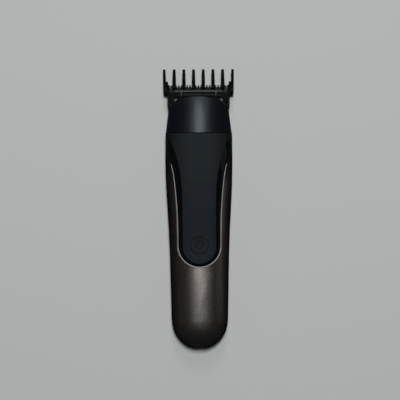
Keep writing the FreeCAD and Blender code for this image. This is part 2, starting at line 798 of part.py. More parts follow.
def make_socket_grommet():
    """Rubber ring that seals the jack in the tail."""
    ring = rod(0, waterline, socket_face_along, socket_face_along + grommet_length, socket_radius)
    nose = rod(0, waterline, socket_face_along + socket_recess, socket_face_along + grommet_length + over,
               socket_barrel_radius + socket_nose_wall)
    mouth = Part.makeCone(socket_barrel_radius + mouth_flare, socket_barrel_radius, mouth_depth,
                          V(0, socket_face_along, waterline), Y_AXIS)
    return ring.cut(nose).cut(mouth)


# ---- motor and drive ----------------------------------------------------------------------------------
def make_motor_can():
    """Steel can with two flats, its front boss and two blind holes for the screws."""
    start = plate_bottom_along - motor_length
    can = rod(0, motor_height, start, plate_bottom_along, motor_radius)
    flats = block(-motor_radius, motor_radius, start, plate_bottom_along, motor_height - motor_flat_half,
                  motor_height + motor_flat_half)
    can = can.common(flats)
    rims = [edge for edge in can.Edges if abs(edge.CenterOfMass.y - start) < touch_gap]
    can = can.makeChamfer(motor_chamfer, rims)
    boss = rod(0, motor_height, plate_bottom_along - over, plate_bottom_along + motor_boss_length,
               motor_boss_radius)
    can = fused(can, boss)
    bore = rod(0, motor_height, start - over, plate_bottom_along + motor_boss_length + over,
               shaft_radius + shaft_clearance)
    hole = rod(motor_screw_offset, motor_height, plate_bottom_along - motor_screw_depth,
               plate_bottom_along + over, screw_radius + screw_fit)
    return can.cut(bore).cut(hole).cut(mirrored(hole))


def make_motor_cap():
    """Plastic end cap that holds the brushes."""
    end = plate_bottom_along - motor_length
    start = end - motor_cap_length
    cap = rod(0, motor_height, start, end, motor_radius - motor_cap_step)
    flat_half = motor_flat_half - motor_cap_step
    flats = block(-motor_radius, motor_radius, start, end,
                  motor_height - flat_half, motor_height + flat_half)
    bore = rod(0, motor_height, end - motor_cap_length / 2, end + over, shaft_radius + shaft_clearance)
    slot = motor_tag(start, start + tag_seat)
    return cap.common(flats).cut([bore, slot, mirrored(slot)])


def motor_tag(y0, y1):
    """The bar that one solder tag, and the slot that it stands in, are made from."""
    return block(motor_screw_offset - tag_half_thickness, motor_screw_offset + tag_half_thickness, y0, y1,
                 motor_height - tag_half_height, motor_height + tag_half_height)


def make_motor_terminals():
    """Two solder tags standing out of the end cap."""
    return both_sides(motor_tag(motor_back_along - tag_length, motor_back_along + tag_seat))


def bent_wire(points, radius):
    """Round wire along straight runs, mitred where they meet."""
    path = Part.makePolygon(points)
    start = points[0]
    circle = Part.Wire(Part.makeCircle(radius, start, points[1] - start))
    return path.makePipeShell([circle], True, False, 1)


def make_motor_leads():
    """Two insulated wires from the motor's tags up to the board."""
    start_along = motor_back_along - tag_length / 2
    low = motor_height + tag_half_height
    high = board_top + lead_radius
    points = [
        V(motor_screw_offset, start_along, low),
        V(motor_screw_offset, start_along, high - lead_bend),
        V(motor_screw_offset, start_along - lead_bend, high),
        V(motor_screw_offset, start_along - lead_bend - lead_run, high),
    ]
    return both_sides(bent_wire(points, lead_radius))


def make_motor_screws():
    """Two small screws that hold the motor against the neck plate."""
    shank = rod(motor_screw_offset, motor_height, plate_bottom_along - motor_screw_depth + screw_play,
                plate_top_along + screw_head_length / 2, screw_radius)
    head = rod(motor_screw_offset, motor_height, plate_top_along, plate_top_along + screw_head_length,
               screw_head_radius)
    return both_sides(fused(shank, head))


def make_neck_plate():
    """Plate that closes the handle, with the neck that the head pushes onto."""
    disc = core(shell_wall + seat_clearance).common(slab(plate_bottom_along, plate_top_along))
    neck_end = seam_along + neck_height
    outer = spigot(neck_inset, plate_bottom_along + over, neck_end)
    inner = spigot(neck_inset + neck_wall, plate_top_along - over, neck_end + over)
    neck = outer.cut(inner)
    body = fused(disc, neck)
    low = plate_bottom_along - over
    high = plate_top_along + over
    boss_hole = rod(0, motor_height, low, high, motor_boss_radius + shaft_clearance)
    motor_hole = rod(motor_screw_offset, motor_height, low, high, screw_radius + screw_fit)
    screw_height = waterline - housing_screw_drop
    housing_hole = rod(housing_screw_offset, screw_height, low, high, screw_radius + screw_fit)
    head_room = rod(housing_screw_offset, screw_height, plate_top_along, neck_end + over,
                    screw_head_radius + screw_play)
    cuts = [boss_hole, motor_hole, mirrored(motor_hole), housing_hole, mirrored(housing_hole), head_room,
            mirrored(head_room)]
    return body.cut(cuts)


def make_neck_screws():
    """Two self-tapping screws from the neck plate into the rear housing."""
    height = waterline - housing_screw_drop
    end = plate_bottom_along - housing_screw_length + pilot_floor
    shank = rod(housing_screw_offset, height, end + over, plate_top_along + screw_head_length / 2,
                screw_radius)
    head = rod(housing_screw_offset, height, plate_top_along, plate_top_along + screw_head_length,
               screw_head_radius)
    return both_sides(fused(shank, head))


def make_motor_shaft():
    """Ground shaft from the end cap's bearing up into the cam."""
    start = plate_bottom_along - motor_length - motor_cap_length / 2 + screw_play
    return rod(0, motor_height, start, cam_end - pin_seat, shaft_radius)


def make_eccentric_cam():
    """Moulded hub on the shaft, with a counterweight opposite the drive pin."""
    hub = rod(0, motor_height, cam_start, cam_end, cam_radius - hub_step)
    weight = rod(0, motor_height, cam_start, cam_start + cam_length / 2, cam_radius)
    weight = weight.cut(block(weight_edge, cam_radius + over, cam_start - over, cam_end, 0, ceiling))
    shaft_hole = rod(0, motor_height, cam_start - over, cam_end - pin_seat, shaft_radius)
    pin_hole = rod(eccentricity, motor_height, cam_end - pin_seat, cam_end + over, drive_pin_radius)
    return fused(hub, weight).cut([shaft_hole, pin_hole])


def make_drive_pin():
    """Hardened pin that sweeps round the motor's axis and drives the yoke."""
    pin = rod(eccentricity, motor_height, cam_end - pin_seat, cam_end + drive_pin_length, drive_pin_radius)
    tip = [edge for edge in pin.Edges if edge.isClosed() and edge.CenterOfMass.y > cam_end]
    return pin.makeChamfer(pin_chamfer, tip)


# ---- cutting head -------------------------------------------------------------------------------------
def rim_prism(setback):
    """Everything behind the head shell's rim, which is a long arc with a tighter one at each corner."""
    middle = rim_along - setback
    corner = V(rim_corner_half_width, middle - rim_corner_drop, 0)
    side = V(beyond, middle - rim_side_drop - (beyond - head_half_width), 0)
    bend = (corner + side) / 2 + V(-rim_corner_bulge, rim_corner_bulge, 0)
    front = Part.Arc(V(-corner.x, corner.y, 0), V(0, middle, 0), corner).toShape()
    turn = Part.Arc(corner, bend, side).toShape()
    low_right = V(beyond, seam_along - over, 0)
    low_left = V(-beyond, seam_along - over, 0)
    edges = [
        front, turn, mirrored(turn),
        Part.makeLine(side, low_right),
        Part.makeLine(low_right, low_left),
        Part.makeLine(low_left, V(-beyond, side.y, 0)),
    ]
    face = Part.Face(Part.Wire(Part.__sortEdges__(edges)))
    prism = face.extrude(V(0, 0, ceiling + over))
    prism.translate(V(0, 0, -over))
    return prism


def head_core(clearance):
    """The flat-sided hollow that narrows through the head, with cut corners."""
    wires = []
    for along, half_width, back, front, corner in (
        (seam_along + bore_depth - bore_lap, core_half_width, core_back, core_front, core_corner),
        (rim_along + form_overrun, core_rim_half_width, core_rim_back, core_rim_front, core_rim_corner),
    ):
        w = half_width - clearance
        z0 = back + clearance
        z1 = front - clearance
        corners = [
            V(w, along, z0 + corner), V(w, along, z1 - corner), V(w - corner, along, z1),
            V(corner - w, along, z1), V(-w, along, z1 - corner), V(-w, along, z0 + corner),
            V(corner - w, along, z0), V(w - corner, along, z0),
        ]
        wires.append(Part.makePolygon(corners + corners[:1]))
    return Part.makeLoft(wires, True, True)


def rail(height, depth, start, end):
    """Straight bar along the side of the head, from which the comb's rib and its groove are both made."""
    x0 = blade_half_width - depth
    z0 = blade_face - rail_drop + (rail_height - height) / 2
    return block(x0, blade_half_width + over, start, end, z0, z0 + height)


def make_head_shell():
    """Satin shell of the detachable head, with flats and grooves at its sides for the comb's arms."""
    shell = outer_form.common(slab(seam_along + seam_gap, rim_along + over)).common(rim_prism(0))
    bore = spigot(neck_inset - neck_clearance, seam_along - over, seam_along + bore_depth)
    shell = shell.cut(bore).cut(head_core(0))
    arm_end = blade_root_along - comb_arm_setback - comb_clearance
    flat = block(blade_half_width, beyond, arm_end, rim_along + form_overrun, -ceiling, ceiling)
    groove = rail(rail_height + 2 * rail_play, rail_depth + rail_play,
                  arm_end + rail_setback - 3 * rail_play, rim_along + form_overrun)
    shell = shell.cut([leaned(flat), leaned(mirrored(flat)), leaned(groove), leaned(mirrored(groove))])
    return solids_only(shell)


def make_blade_carrier():
    """Moulded block inside the head that the fixed blade is screwed to, with posts for the spring."""
    inner = head_core(seat_clearance)
    plug = inner.common(slab(seam_along + bore_depth, rim_along - over)).common(rim_prism(over))
    below = leaned(block(-beyond, beyond, 0, far_along, blade_face - ceiling, blade_face))
    plug = plug.common(below)
    bed_half = blade_half_width - bed_margin
    bed = block(-bed_half, bed_half, blade_root_along - blade_tail_reach + bed_margin,
                blade_root_along + carrier_tip_reach, blade_face - carrier_thickness, blade_face)
    bed = leaned(bed).common(inner)
    post_along = blade_root_along - spring_bar_setback
    post_top = wire_height + spring_wire_radius + post_lip
    post = block(yoke_half_width + cutter_travel + post_gap, spring_arm_offset - spring_bend_radius,
                 post_along - post_half_length, post_along + post_half_length, blade_face - over, post_top)
    carrier = fused(plug, bed, leaned(post), leaned(mirrored(post)))
    groove_radius = spring_wire_radius + seat_clearance
    groove = Part.makeCylinder(groove_radius, 2 * beyond, V(-beyond, post_along, wire_height), X_AXIS)
    slot = block(-beyond, beyond, post_along - groove_radius, post_along + groove_radius, wire_height,
                 post_top + over)
    pocket_half = yoke_half_width + cutter_travel + pocket_play
    pocket = block(-pocket_half, pocket_half, 0, blade_root_along - blade_tail_reach - 2 * pocket_play,
                   motor_height - yoke_depth - pocket_play, ceiling)
    hole = blade_screw_bar(blade_face - blade_screw_depth - screw_play, blade_face + over, screw_fit)
    carrier = carrier.cut([leaned(groove), leaned(slot), pocket, leaned(hole), leaned(mirrored(hole))])
    return solids_only(carrier)


def teeth_gaps(half_span, count, share, tip_along, length, z0, z1):
    """The slots between a row of pointed teeth, to cut away."""
    pitch = 2 * half_span / count
    half = pitch * (1 - share) / 2
    mouth = half + tooth_point_share * pitch
    shoulder = tip_along - tooth_point_length
    slots = []
    for step in range(count + 1):
        x = -half_span + pitch * step
        points = [
            (x - half, tip_along - length), (x - half, shoulder), (x - mouth, tip_along + over / 2),
            (x + mouth, tip_along + over / 2), (x + half, shoulder), (x + half, tip_along - length),
        ]
        slots.append(plate(points, z0, z1))
    return slots


def grinding(tip_along, edge_height, depth, length):
    """The wedge that is ground off a blade's front edge, upwards where the depth is negative."""
    corners = [V(-beyond, tip_along - length, edge_height), V(-beyond, tip_along + over, edge_height),
               V(-beyond, tip_along + over, edge_height + depth)]
    return Part.Face(Part.makePolygon(corners + corners[:1])).extrude(V(2 * beyond, 0, 0))


def blade_screw_bar(z0, z1, clearance):
    """The shank of one blade screw, or with a clearance the hole that it goes into."""
    return peg(blade_screw_offset, blade_root_along - blade_screw_setback, z0, z1,
               blade_screw_radius + clearance)


def make_fixed_blade():
    """Ground steel blade with one row of teeth between two wide guard teeth."""
    tip = blade_tip_along
    tail = blade_root_along - blade_tail_reach
    shoulder = blade_root_along - blade_shoulder_setback
    w = blade_half_width
    half_outline = [
        (w, shoulder), (w, tip - blade_corner), (w - blade_corner, tip), (w - blade_tail_step, tail),
        (w - blade_tail_step + over, tail + over),
    ]
    front = half_outline[:3]
    rear = half_outline[3:]
    outline = front + [(-x, y) for x, y in reversed(front)] + [(-x, y) for x, y in reversed(rear)] + rear
    z0 = blade_face
    z1 = blade_face + fixed_blade_thickness
    blade = plate(outline, z0, z1)
    span = w - guard_tooth_width
    half_span = span - span / (fixed_tooth_count + 1)
    gaps = teeth_gaps(half_span, fixed_tooth_count, fixed_tooth_share, tip, fixed_tooth_length, z0 - over,
                      z1 + over)
    ground = grinding(tip, z0, fixed_grind_depth, fixed_grind_length)
    hole = blade_screw_bar(z0 - over, z1 + over, screw_fit)
    return leaned(blade.cut([*gaps, ground, hole, mirrored(hole)]))


def make_moving_blade():
    """Cutter that slides on the fixed blade."""
    tip = blade_tip_along - moving_blade_setback
    rear = tip - moving_blade_depth
    w = moving_blade_half_width
    z0 = moving_blade_face
    z1 = guide_base
    blade = plate([(w, rear), (w, tip), (-w, tip), (-w, rear)], z0, z1)
    pitch = 2 * w / moving_tooth_count
    gaps = teeth_gaps(w - pitch, moving_tooth_count - 2, moving_tooth_share, tip, moving_tooth_length,
                      z0 - over, z1 + over)
    ground = grinding(tip, z1, -moving_grind_depth, moving_grind_length)
    return leaned(blade.cut([*gaps, ground]))


def make_cutter_guide():
    """Plastic bar riveted to the cutter, with two notches for the arms of the spring."""
    start = blade_root_along + guide_reach
    bar = block(-guide_half_width, guide_half_width, start, start + guide_depth, guide_base, guide_top)
    notch_half = spring_wire_radius + cutter_travel + notch_play
    notch = block(spring_arm_offset - notch_half, spring_arm_offset + notch_half, start - over,
                  start + guide_depth + over, wire_height - spring_wire_radius - touch_gap, guide_top + over)
    slope = block(-guide_half_width, guide_half_width, 0, guide_chamfer, 0, guide_height)
    slope.rotate(V(0, 0, 0), X_AXIS, 45)
    slope.translate(V(0, start + guide_depth, guide_top - guide_chamfer))
    grooves = []
    for step in range(-guide_groove_reach, guide_groove_reach + 1):
        x = step * guide_groove_pitch
        grooves.append(block(x - guide_groove_half, x + guide_groove_half, start - over,
                             start + guide_depth / 2, guide_top - guide_groove_depth, ceiling))
    return leaned(bar.cut([notch, mirrored(notch), slope, *grooves]))


def make_drive_yoke():
    """Arm from the cutter guide down to the eccentric, ending in a slotted block."""
    arm_base = guide_base + yoke_gap
    arm_top = arm_base + yoke_thickness
    arm_half = yoke_half_width - yoke_arm_step
    arm = block(-arm_half, arm_half, yoke_start_along, blade_root_along + guide_reach, arm_base, arm_top)
    lean = math.tan(math.radians(blade_tilt))
    bottom = motor_height + (yoke_end_along - blade_root_along) * lean - yoke_depth
    shoe = block(-yoke_half_width, yoke_half_width, yoke_start_along, yoke_end_along, bottom, arm_top)
    slot_half = drive_pin_radius + eccentricity + cutter_travel + yoke_play
    slot = block(-slot_half, slot_half, yoke_start_along - over, yoke_end_along + over,
                 bottom + yoke_floor, guide_base - touch_gap)
    return leaned(fused(arm, shoe.cut(slot)))


def make_cutter_spring():
    """One bent wire: a bar across the posts and two arms that press on the cutter guide."""
    bar_along = blade_root_along - spring_bar_setback
    tip = blade_root_along + spring_tip_reach
    x = spring_arm_offset
    bend = spring_bend_radius
    half = [V(x - bend, bar_along, wire_height), V(x, bar_along + bend, wire_height), V(x, tip, wire_height)]
    points = [V(-p.x, p.y, p.z) for p in reversed(half)] + half
    return leaned(bent_wire(points, spring_wire_radius))


def make_blade_screws():
    """Two bright screws with slotted heads through the corners of the fixed blade."""
    seat = blade_face + fixed_blade_thickness
    y = blade_root_along - blade_screw_setback
    shank = blade_screw_bar(blade_face - blade_screw_depth, seat + blade_screw_head_height / 2, 0)
    head = Part.makeCone(blade_screw_head_radius, blade_screw_head_radius - blade_screw_head_taper,
                         blade_screw_head_height, V(blade_screw_offset, y, seat), Z_AXIS)
    slot = block(-screw_head_radius, screw_head_radius, -screw_play, screw_play, 0, over)
    slot.rotate(V(0, 0, 0), Z_AXIS, blade_screw_turn)
    slot.translate(V(blade_screw_offset, y, seat + blade_screw_head_height / 2))
    return leaned(both_sides(fused(shank, head).cut(slot)))


# ---- guide comb ---------------------------------------------------------------------------------------
def fin_profile(thickness, x):
    """One fin seen from the side: it starts behind the blade, arches over its tips and hooks in front."""
    root = blade_root_along
    tip = root + fin_tip_reach
    blade_end = blade_tip_along + comb_clearance
    slot_low = blade_face - comb_clearance
    slot_high = guide_base + comb_clearance
    plate_top = comb_skin + comb_plate_thickness
    chin_height = blade_face - fin_nose_depth
    nose = V(x, tip, chin_height + fin_nose_radius)
    brow = V(x, tip - fin_brow_setback, nose.z + fin_brow_rise)
    crest = V(x, tip - fin_crest_setback, nose.z + fin_crest_rise)
    belly = V(x, root + fin_belly_reach, comb_skin)
    chin = V(x, tip - fin_chin_setback, chin_height)
    hook_top = V(x, root + fin_hook_reach, slot_high + fin_hook_height)
    hook_front = V(x, root + fin_hook_reach - fin_hook_bulge, slot_high + fin_hook_height / 2)
    hook_base = V(x, root + fin_hook_reach, slot_high)
    corners = [
        V(x, blade_end, slot_high),
        V(x, blade_end, slot_low),
        V(x, root + comb_plate_reach + fin_bridge, slot_low - fin_bridge),
        V(x, root + comb_plate_reach - fin_bridge, plate_top),
        V(x, root + comb_back_start, plate_top),
        V(x, root + comb_back_start, comb_skin),
    ]
    edges = [
        Part.makeLine(corners[-1], belly),
        Part.Arc(belly, chin, nose).toShape(),
        Part.Arc(nose, brow, crest).toShape(),
        Part.makeLine(crest, hook_top),
        Part.Arc(hook_top, hook_front, hook_base).toShape(),
        Part.makeLine(hook_base, corners[0]),
    ]
    for start, end in zip(corners, corners[1:]):
        edges.append(Part.makeLine(start, end))
    face = Part.Face(Part.Wire(edges))
    return face.extrude(V(thickness, 0, 0))


def inner_fin(x):
    """A fin that thins towards its rounded tip."""
    body = fin_profile(fin_thickness, x - fin_thickness / 2)
    tip = blade_root_along + fin_tip_reach
    base_half = fin_thickness / 2
    tip_half = fin_tip_thickness / 2
    low = blade_root_along
    round_start = tip - tip_half
    left = [V(x - base_half, low, 0), V(x - base_half, blade_tip_along, 0), V(x - tip_half, round_start, 0)]
    right = [V(x + tip_half, round_start, 0), V(x + base_half, blade_tip_along, 0), V(x + base_half, low, 0)]
    edges = [Part.Arc(left[-1], V(x, tip, 0), right[0]).toShape()]
    for points in (left, right, [right[-1], left[0]]):
        for start, end in zip(points, points[1:]):
            edges.append(Part.makeLine(start, end))
    strip = Part.Face(Part.Wire(Part.__sortEdges__(edges))).extrude(V(0, 0, ceiling))
    return body.common(strip)


def outer_fin(x_inner):
    """The end fin: thinner, leaning out a little, and closed down to the comb's step."""
    step = blade_root_along + comb_step_reach
    x_outer = x_inner + outer_fin_thickness
    fin = fin_profile(outer_fin_thickness, x_inner)
    cheek = block(x_inner, x_outer, step, blade_tip_along + over, comb_skin + comb_cheek_rise,
                  guide_base + comb_clearance + over)
    fin = fin.fuse(cheek)
    fin = fin.common(block(x_inner - over, x_outer + over, step, far_along, -ceiling, ceiling))
    angle = math.degrees(math.atan(outer_fin_splay / (fin_tip_reach - comb_step_reach)))
    fin.rotate(V(x_inner, step, 0), Z_AXIS, -angle)
    return fin


def comb_side():
    """The right side of the comb: arm, ribs, the two steps of its corner, and the end fin."""
    root = blade_root_along
    arm_in = blade_half_width + comb_arm_clearance
    arm_out = arm_in + comb_arm_thickness
    arm_start = root - comb_arm_setback
    step = root + comb_step_reach
    arm_top = blade_face + comb_arm_rise
    low = comb_skin + comb_cheek_rise
    cheek_top = guide_base + comb_clearance + comb_cheek_height
    outer_in = fin_pitch * (fin_count - 1) / 2 - outer_fin_thickness / 2 - outer_fin_inset
    overlap = outer_in + outer_fin_thickness / 5
    arm = block(arm_in, arm_out, arm_start, step + over / 2, comb_skin, arm_top)
    lead_in = plate([(arm_out - arm_lead_depth, arm_start), (arm_out + over, arm_start),
                     (arm_out + over, arm_start + 2 * arm_lead_length),
                     (arm_out, arm_start + arm_lead_length)], -ceiling, ceiling)
    cheek = block(arm_in, overlap, step, root + comb_cheek_reach, low, cheek_top)
    corner = block(comb_corner_half_width, overlap, step, root + comb_corner_reach, low,
                   cheek_top - comb_corner_drop)
    gusset = plate([(arm_out - gusset_width / 2, step), (arm_out - gusset_width / 2, step - gusset_length),
                    (arm_out + gusset_width, step - gusset_length / 3), (overlap, step),
                    (overlap, step + over / 2)], low, arm_top - over)
    rib = rail(rail_height, rail_depth, arm_start + rail_setback, root - over / 2)
    rib = rib.common(block(0, arm_in + over / 2, 0, far_along, -ceiling, ceiling))
    return [arm.cut(lead_in), cheek, corner, gusset, rib, outer_fin(outer_in)]


def make_guide_comb():
    """Clip-on comb: eight fins on a back plate between two arms that slide down the head's sides."""
    root = blade_root_along
    plate_half = blade_half_width + comb_arm_clearance + comb_arm_thickness
    back = block(-plate_half, plate_half, root + comb_back_start, root + comb_plate_reach, comb_skin,
                 comb_skin + comb_plate_thickness)
    fins = []
    for number in range(1, fin_count - 1):
        fins.append(inner_fin(fin_pitch * (number - (fin_count - 1) / 2)))
    side = comb_side()
    return leaned(fused(back, *fins, *side, *[mirrored(piece) for piece in side]))


# ---- export -------------------------------------------------------------------------------------------
makers = {
    "rear_housing": make_rear_housing,
    "front_housing": make_front_housing,
    "trim_strip": make_trim_strip,
    "grip_pad": make_grip_pad,
    "chassis": make_chassis,
    "battery_cell": make_battery_cell,
    "battery_tabs": make_battery_tabs,
    "circuit_board": make_circuit_board,
    "board_parts": make_board_parts,
    "indicator_light": make_indicator_light,
    "switch_body": make_switch_body,
    "switch_plunger": make_switch_plunger,
    "power_button": make_power_button,
    "charging_socket": make_charging_socket,
    "socket_barrel": make_socket_barrel,
    "socket_pin": make_socket_pin,
    "socket_grommet": make_socket_grommet,
    "motor_can": make_motor_can,
    "motor_cap": make_motor_cap,
    "motor_terminals": make_motor_terminals,
    "motor_leads": make_motor_leads,
    "motor_screws": make_motor_screws,
    "motor_shaft": make_motor_shaft,
    "eccentric_cam": make_eccentric_cam,
    "drive_pin": make_drive_pin,
    "neck_plate": make_neck_plate,
    "neck_screws": make_neck_screws,
    "head_shell": make_head_shell,
    "blade_carrier": make_blade_carrier,
    "fixed_blade": make_fixed_blade,
    "moving_blade": make_moving_blade,
    "cutter_guide": make_cutter_guide,
    "drive_yoke": make_drive_yoke,
    "cutter_spring": make_cutter_spring,
    "blade_screws": make_blade_screws,
    "guide_comb": make_guide_comb,
}


def main():
    os.makedirs("parts", exist_ok=True)
    for name, make in makers.items():
        shape = make()
        shape.translate(V(0, -rest_centre_along, 0))
        shape.exportStep(os.path.join("parts", name + ".step"))
        print(name, "solids", len(shape.Solids), "valid", shape.isValid(), "volume", round(shape.Volume, 1))


if __name__ == "__main__":
    main()
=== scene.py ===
import math

import bmesh
import bpy
from mathutils import Matrix, Vector
from mathutils.kdtree import KDTree


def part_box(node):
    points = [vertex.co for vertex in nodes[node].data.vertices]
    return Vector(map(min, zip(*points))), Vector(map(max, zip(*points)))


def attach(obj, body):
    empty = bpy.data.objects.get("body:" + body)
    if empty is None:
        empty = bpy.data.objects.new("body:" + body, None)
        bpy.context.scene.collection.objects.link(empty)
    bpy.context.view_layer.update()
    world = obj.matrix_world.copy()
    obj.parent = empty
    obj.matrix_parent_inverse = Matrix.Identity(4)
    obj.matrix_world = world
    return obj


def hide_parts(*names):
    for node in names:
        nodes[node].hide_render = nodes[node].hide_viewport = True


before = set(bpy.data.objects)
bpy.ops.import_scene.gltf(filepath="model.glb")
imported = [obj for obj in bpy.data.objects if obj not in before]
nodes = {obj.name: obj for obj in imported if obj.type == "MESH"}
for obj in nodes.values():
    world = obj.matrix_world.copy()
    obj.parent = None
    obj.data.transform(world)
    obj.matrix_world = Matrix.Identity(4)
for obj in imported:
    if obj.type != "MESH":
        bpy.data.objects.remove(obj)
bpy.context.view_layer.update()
bpy.ops.object.select_all(action="DESELECT")

# ---- studio ---------------------------------------------------------------------------------------------
# The trimmer lies on its back on a pale matt board in a dim room, under one soft box above it and one ahead.
# Weaker boxes at both sides and low ahead keep its edges from going black. The camera hangs straight above
# it and leans a third of a degree, as one held by hand does.
camera_place = (0.0005, 0.0214, 0.814)
camera_lean = math.radians(-0.36)
camera_lens = 120.0
camera_data = bpy.data.cameras.new("camera")
camera_data.lens = camera_lens
camera_data.sensor_width = 36.0
camera = bpy.data.objects.new("camera", camera_data)
camera.location = camera_place
camera.rotation_euler = (0, 0, camera_lean)
bpy.context.scene.collection.objects.link(camera)
bpy.context.scene.camera = camera

floor_size = 4.0
floor_gap = 0.0001                # below the land that the trimmer lies on
bpy.ops.mesh.primitive_plane_add(size=floor_size, location=(0, 0, -floor_gap))
floor = bpy.context.object
floor.name = "floor"
floor_paper = bpy.data.materials.new("floor_paper")
floor_paper.use_nodes = True
paper_shader = floor_paper.node_tree.nodes["Principled BSDF"]
paper_shader.inputs["Base Color"].default_value = (0.465, 0.476, 0.471, 1)
paper_shader.inputs["Roughness"].default_value = 0.9
paper_shader.inputs["Specular IOR Level"].default_value = 0.1
floor.data.materials.append(floor_paper)
floor.visible_glossy = False      # the trimmer mirrors the dark room, as it does when it is held up


def softbox(name, place, target, size, power):
    """A rectangular area light that faces a target."""
    data = bpy.data.lights.new(name, "AREA")
    data.shape = "RECTANGLE"
    data.size, data.size_y = size
    data.energy = power
    light = bpy.data.objects.new(name, data)
    light.location = place
    aim = Vector(target) - Vector(place)
    light.rotation_mode = "QUATERNION"
    light.rotation_quaternion = aim.to_track_quat("-Z", "Y")
    bpy.context.scene.collection.objects.link(light)


softbox("soft_box_above", (0.02, 0.27, 1.47), (0, 0.02, 0), (0.14, 0.26), 17.6)
softbox("soft_box_ahead", (0.02, 0.92, 1.18), (0, 0.02, 0), (0.12, 0.55), 2.9)
softbox("soft_box_right", (0.85, 0.02, 0.30), (0, 0.0, 0.01), (0.45, 0.60), 0.15)
softbox("soft_box_left", (-0.9, -0.10, 0.45), (0, 0.0, 0.01), (0.6, 0.8), 0.045)
softbox("soft_box_low", (0.0, 1.10, 0.22), (0, 0.08, 0.01), (0.9, 0.35), 0.2)
world = bpy.data.worlds.new("room")
world.use_nodes = True
world.node_tree.nodes["Background"].inputs["Color"].default_value = (0.75, 0.78, 0.80, 1)
world.node_tree.nodes["Background"].inputs["Strength"].default_value = 0.045
bpy.context.scene.world = world
bpy.context.scene.view_settings.view_transform = "Standard"


# ---- rear housing ---------------------------------------------------------------------------------------
# The handle's main shell, injection-moulded ABS sprayed with a warm graphite metallic paint that shows fine
# flakes and a faint orange-peel ripple.
def new_finish(name, colour, roughness, metallic=0.0, **sockets):
    """A material with one Principled shader and a node with the object's own coordinates."""
    made = bpy.data.materials.new(name)
    made.use_nodes = True
    shader = made.node_tree.nodes["Principled BSDF"]
    shader.inputs["Base Color"].default_value = (*colour, 1)
    shader.inputs["Roughness"].default_value = roughness
    shader.inputs["Metallic"].default_value = metallic
    for socket, value in sockets.items():
        shader.inputs[socket.replace("_", " ")].default_value = value
    place = made.node_tree.nodes.new("ShaderNodeTexCoord")
    place.name = "place"
    return made


def stretched(made, scale):
    """The object's coordinates, stretched for a pattern."""
    tree = made.node_tree
    mapping = tree.nodes.new("ShaderNodeMapping")
    mapping.inputs["Scale"].default_value = scale
    tree.links.new(tree.nodes["place"].outputs["Object"], mapping.inputs["Vector"])
    return mapping.outputs["Vector"]


def noise(made, size, detail=3.0, scale=(1, 1, 1)):
    """Noise whose features are about a size in metres."""
    tree = made.node_tree
    texture = tree.nodes.new("ShaderNodeTexNoise")
    texture.inputs["Scale"].default_value = 1 / size
    texture.inputs["Detail"].default_value = detail
    tree.links.new(stretched(made, scale), texture.inputs["Vector"])
    return texture.outputs["Fac"]


def cells(made, size, feature="F1", output="Distance"):
    """A Voronoi pattern whose cells are about a size in metres."""
    tree = made.node_tree
    texture = tree.nodes.new("ShaderNodeTexVoronoi")
    texture.feature = feature
    texture.inputs["Scale"].default_value = 1 / size
    tree.links.new(tree.nodes["place"].outputs["Object"], texture.inputs["Vector"])
    return texture.outputs[output]


def coordinate(made, axis, folded=False):
    """One of the object's coordinates; folded, its distance from the middle."""
    tree = made.node_tree
    place = tree.nodes["place"].outputs["Object"]
    if folded:
        fold = tree.nodes.new("ShaderNodeVectorMath")
        fold.operation = "ABSOLUTE"
        tree.links.new(place, fold.inputs[0])
        place = fold.outputs[0]
    parts = tree.nodes.new("ShaderNodeSeparateXYZ")
    tree.links.new(place, parts.inputs[0])
    return parts.outputs[axis]


def mapped(made, value, low, high, start=0.3, end=0.7):
    """A value's range between start and end, spread from low to high."""
    tree = made.node_tree
    node = tree.nodes.new("ShaderNodeMapRange")
    node.inputs["From Min"].default_value = start
    node.inputs["From Max"].default_value = end
    node.inputs["To Min"].default_value = low
    node.inputs["To Max"].default_value = high
    tree.links.new(value, node.inputs["Value"])
    return node.outputs["Result"]


def colour_between(made, value, first, second, start=0.35, end=0.65):
    """Drives the base colour from one tone to another."""
    tree = made.node_tree
    ramp = tree.nodes.new("ShaderNodeValToRGB")
    ramp.color_ramp.elements[0].position = start
    ramp.color_ramp.elements[0].color = (*first, 1)
    ramp.color_ramp.elements[1].position = end
    ramp.color_ramp.elements[1].color = (*second, 1)
    tree.links.new(value, ramp.inputs["Fac"])
    tree.links.new(ramp.outputs["Color"], tree.nodes["Principled BSDF"].inputs["Base Color"])


def roughness_from(made, value):
    """Drives the roughness."""
    made.node_tree.links.new(value, made.node_tree.nodes["Principled BSDF"].inputs["Roughness"])


def bumped(made, value, depth, strength=1.0):
    """Raises the surface by a value, up to a depth in metres."""
    tree = made.node_tree
    bump = tree.nodes.new("ShaderNodeBump")
    bump.inputs["Distance"].default_value = depth
    bump.inputs["Strength"].default_value = strength
    tree.links.new(value, bump.inputs["Height"])
    tree.links.new(bump.outputs["Normal"], tree.nodes["Principled BSDF"].inputs["Normal"])


def painted(made, *names):
    """Gives CAD nodes a finish."""
    for name in names:
        nodes[name].material_slots[0].material = made


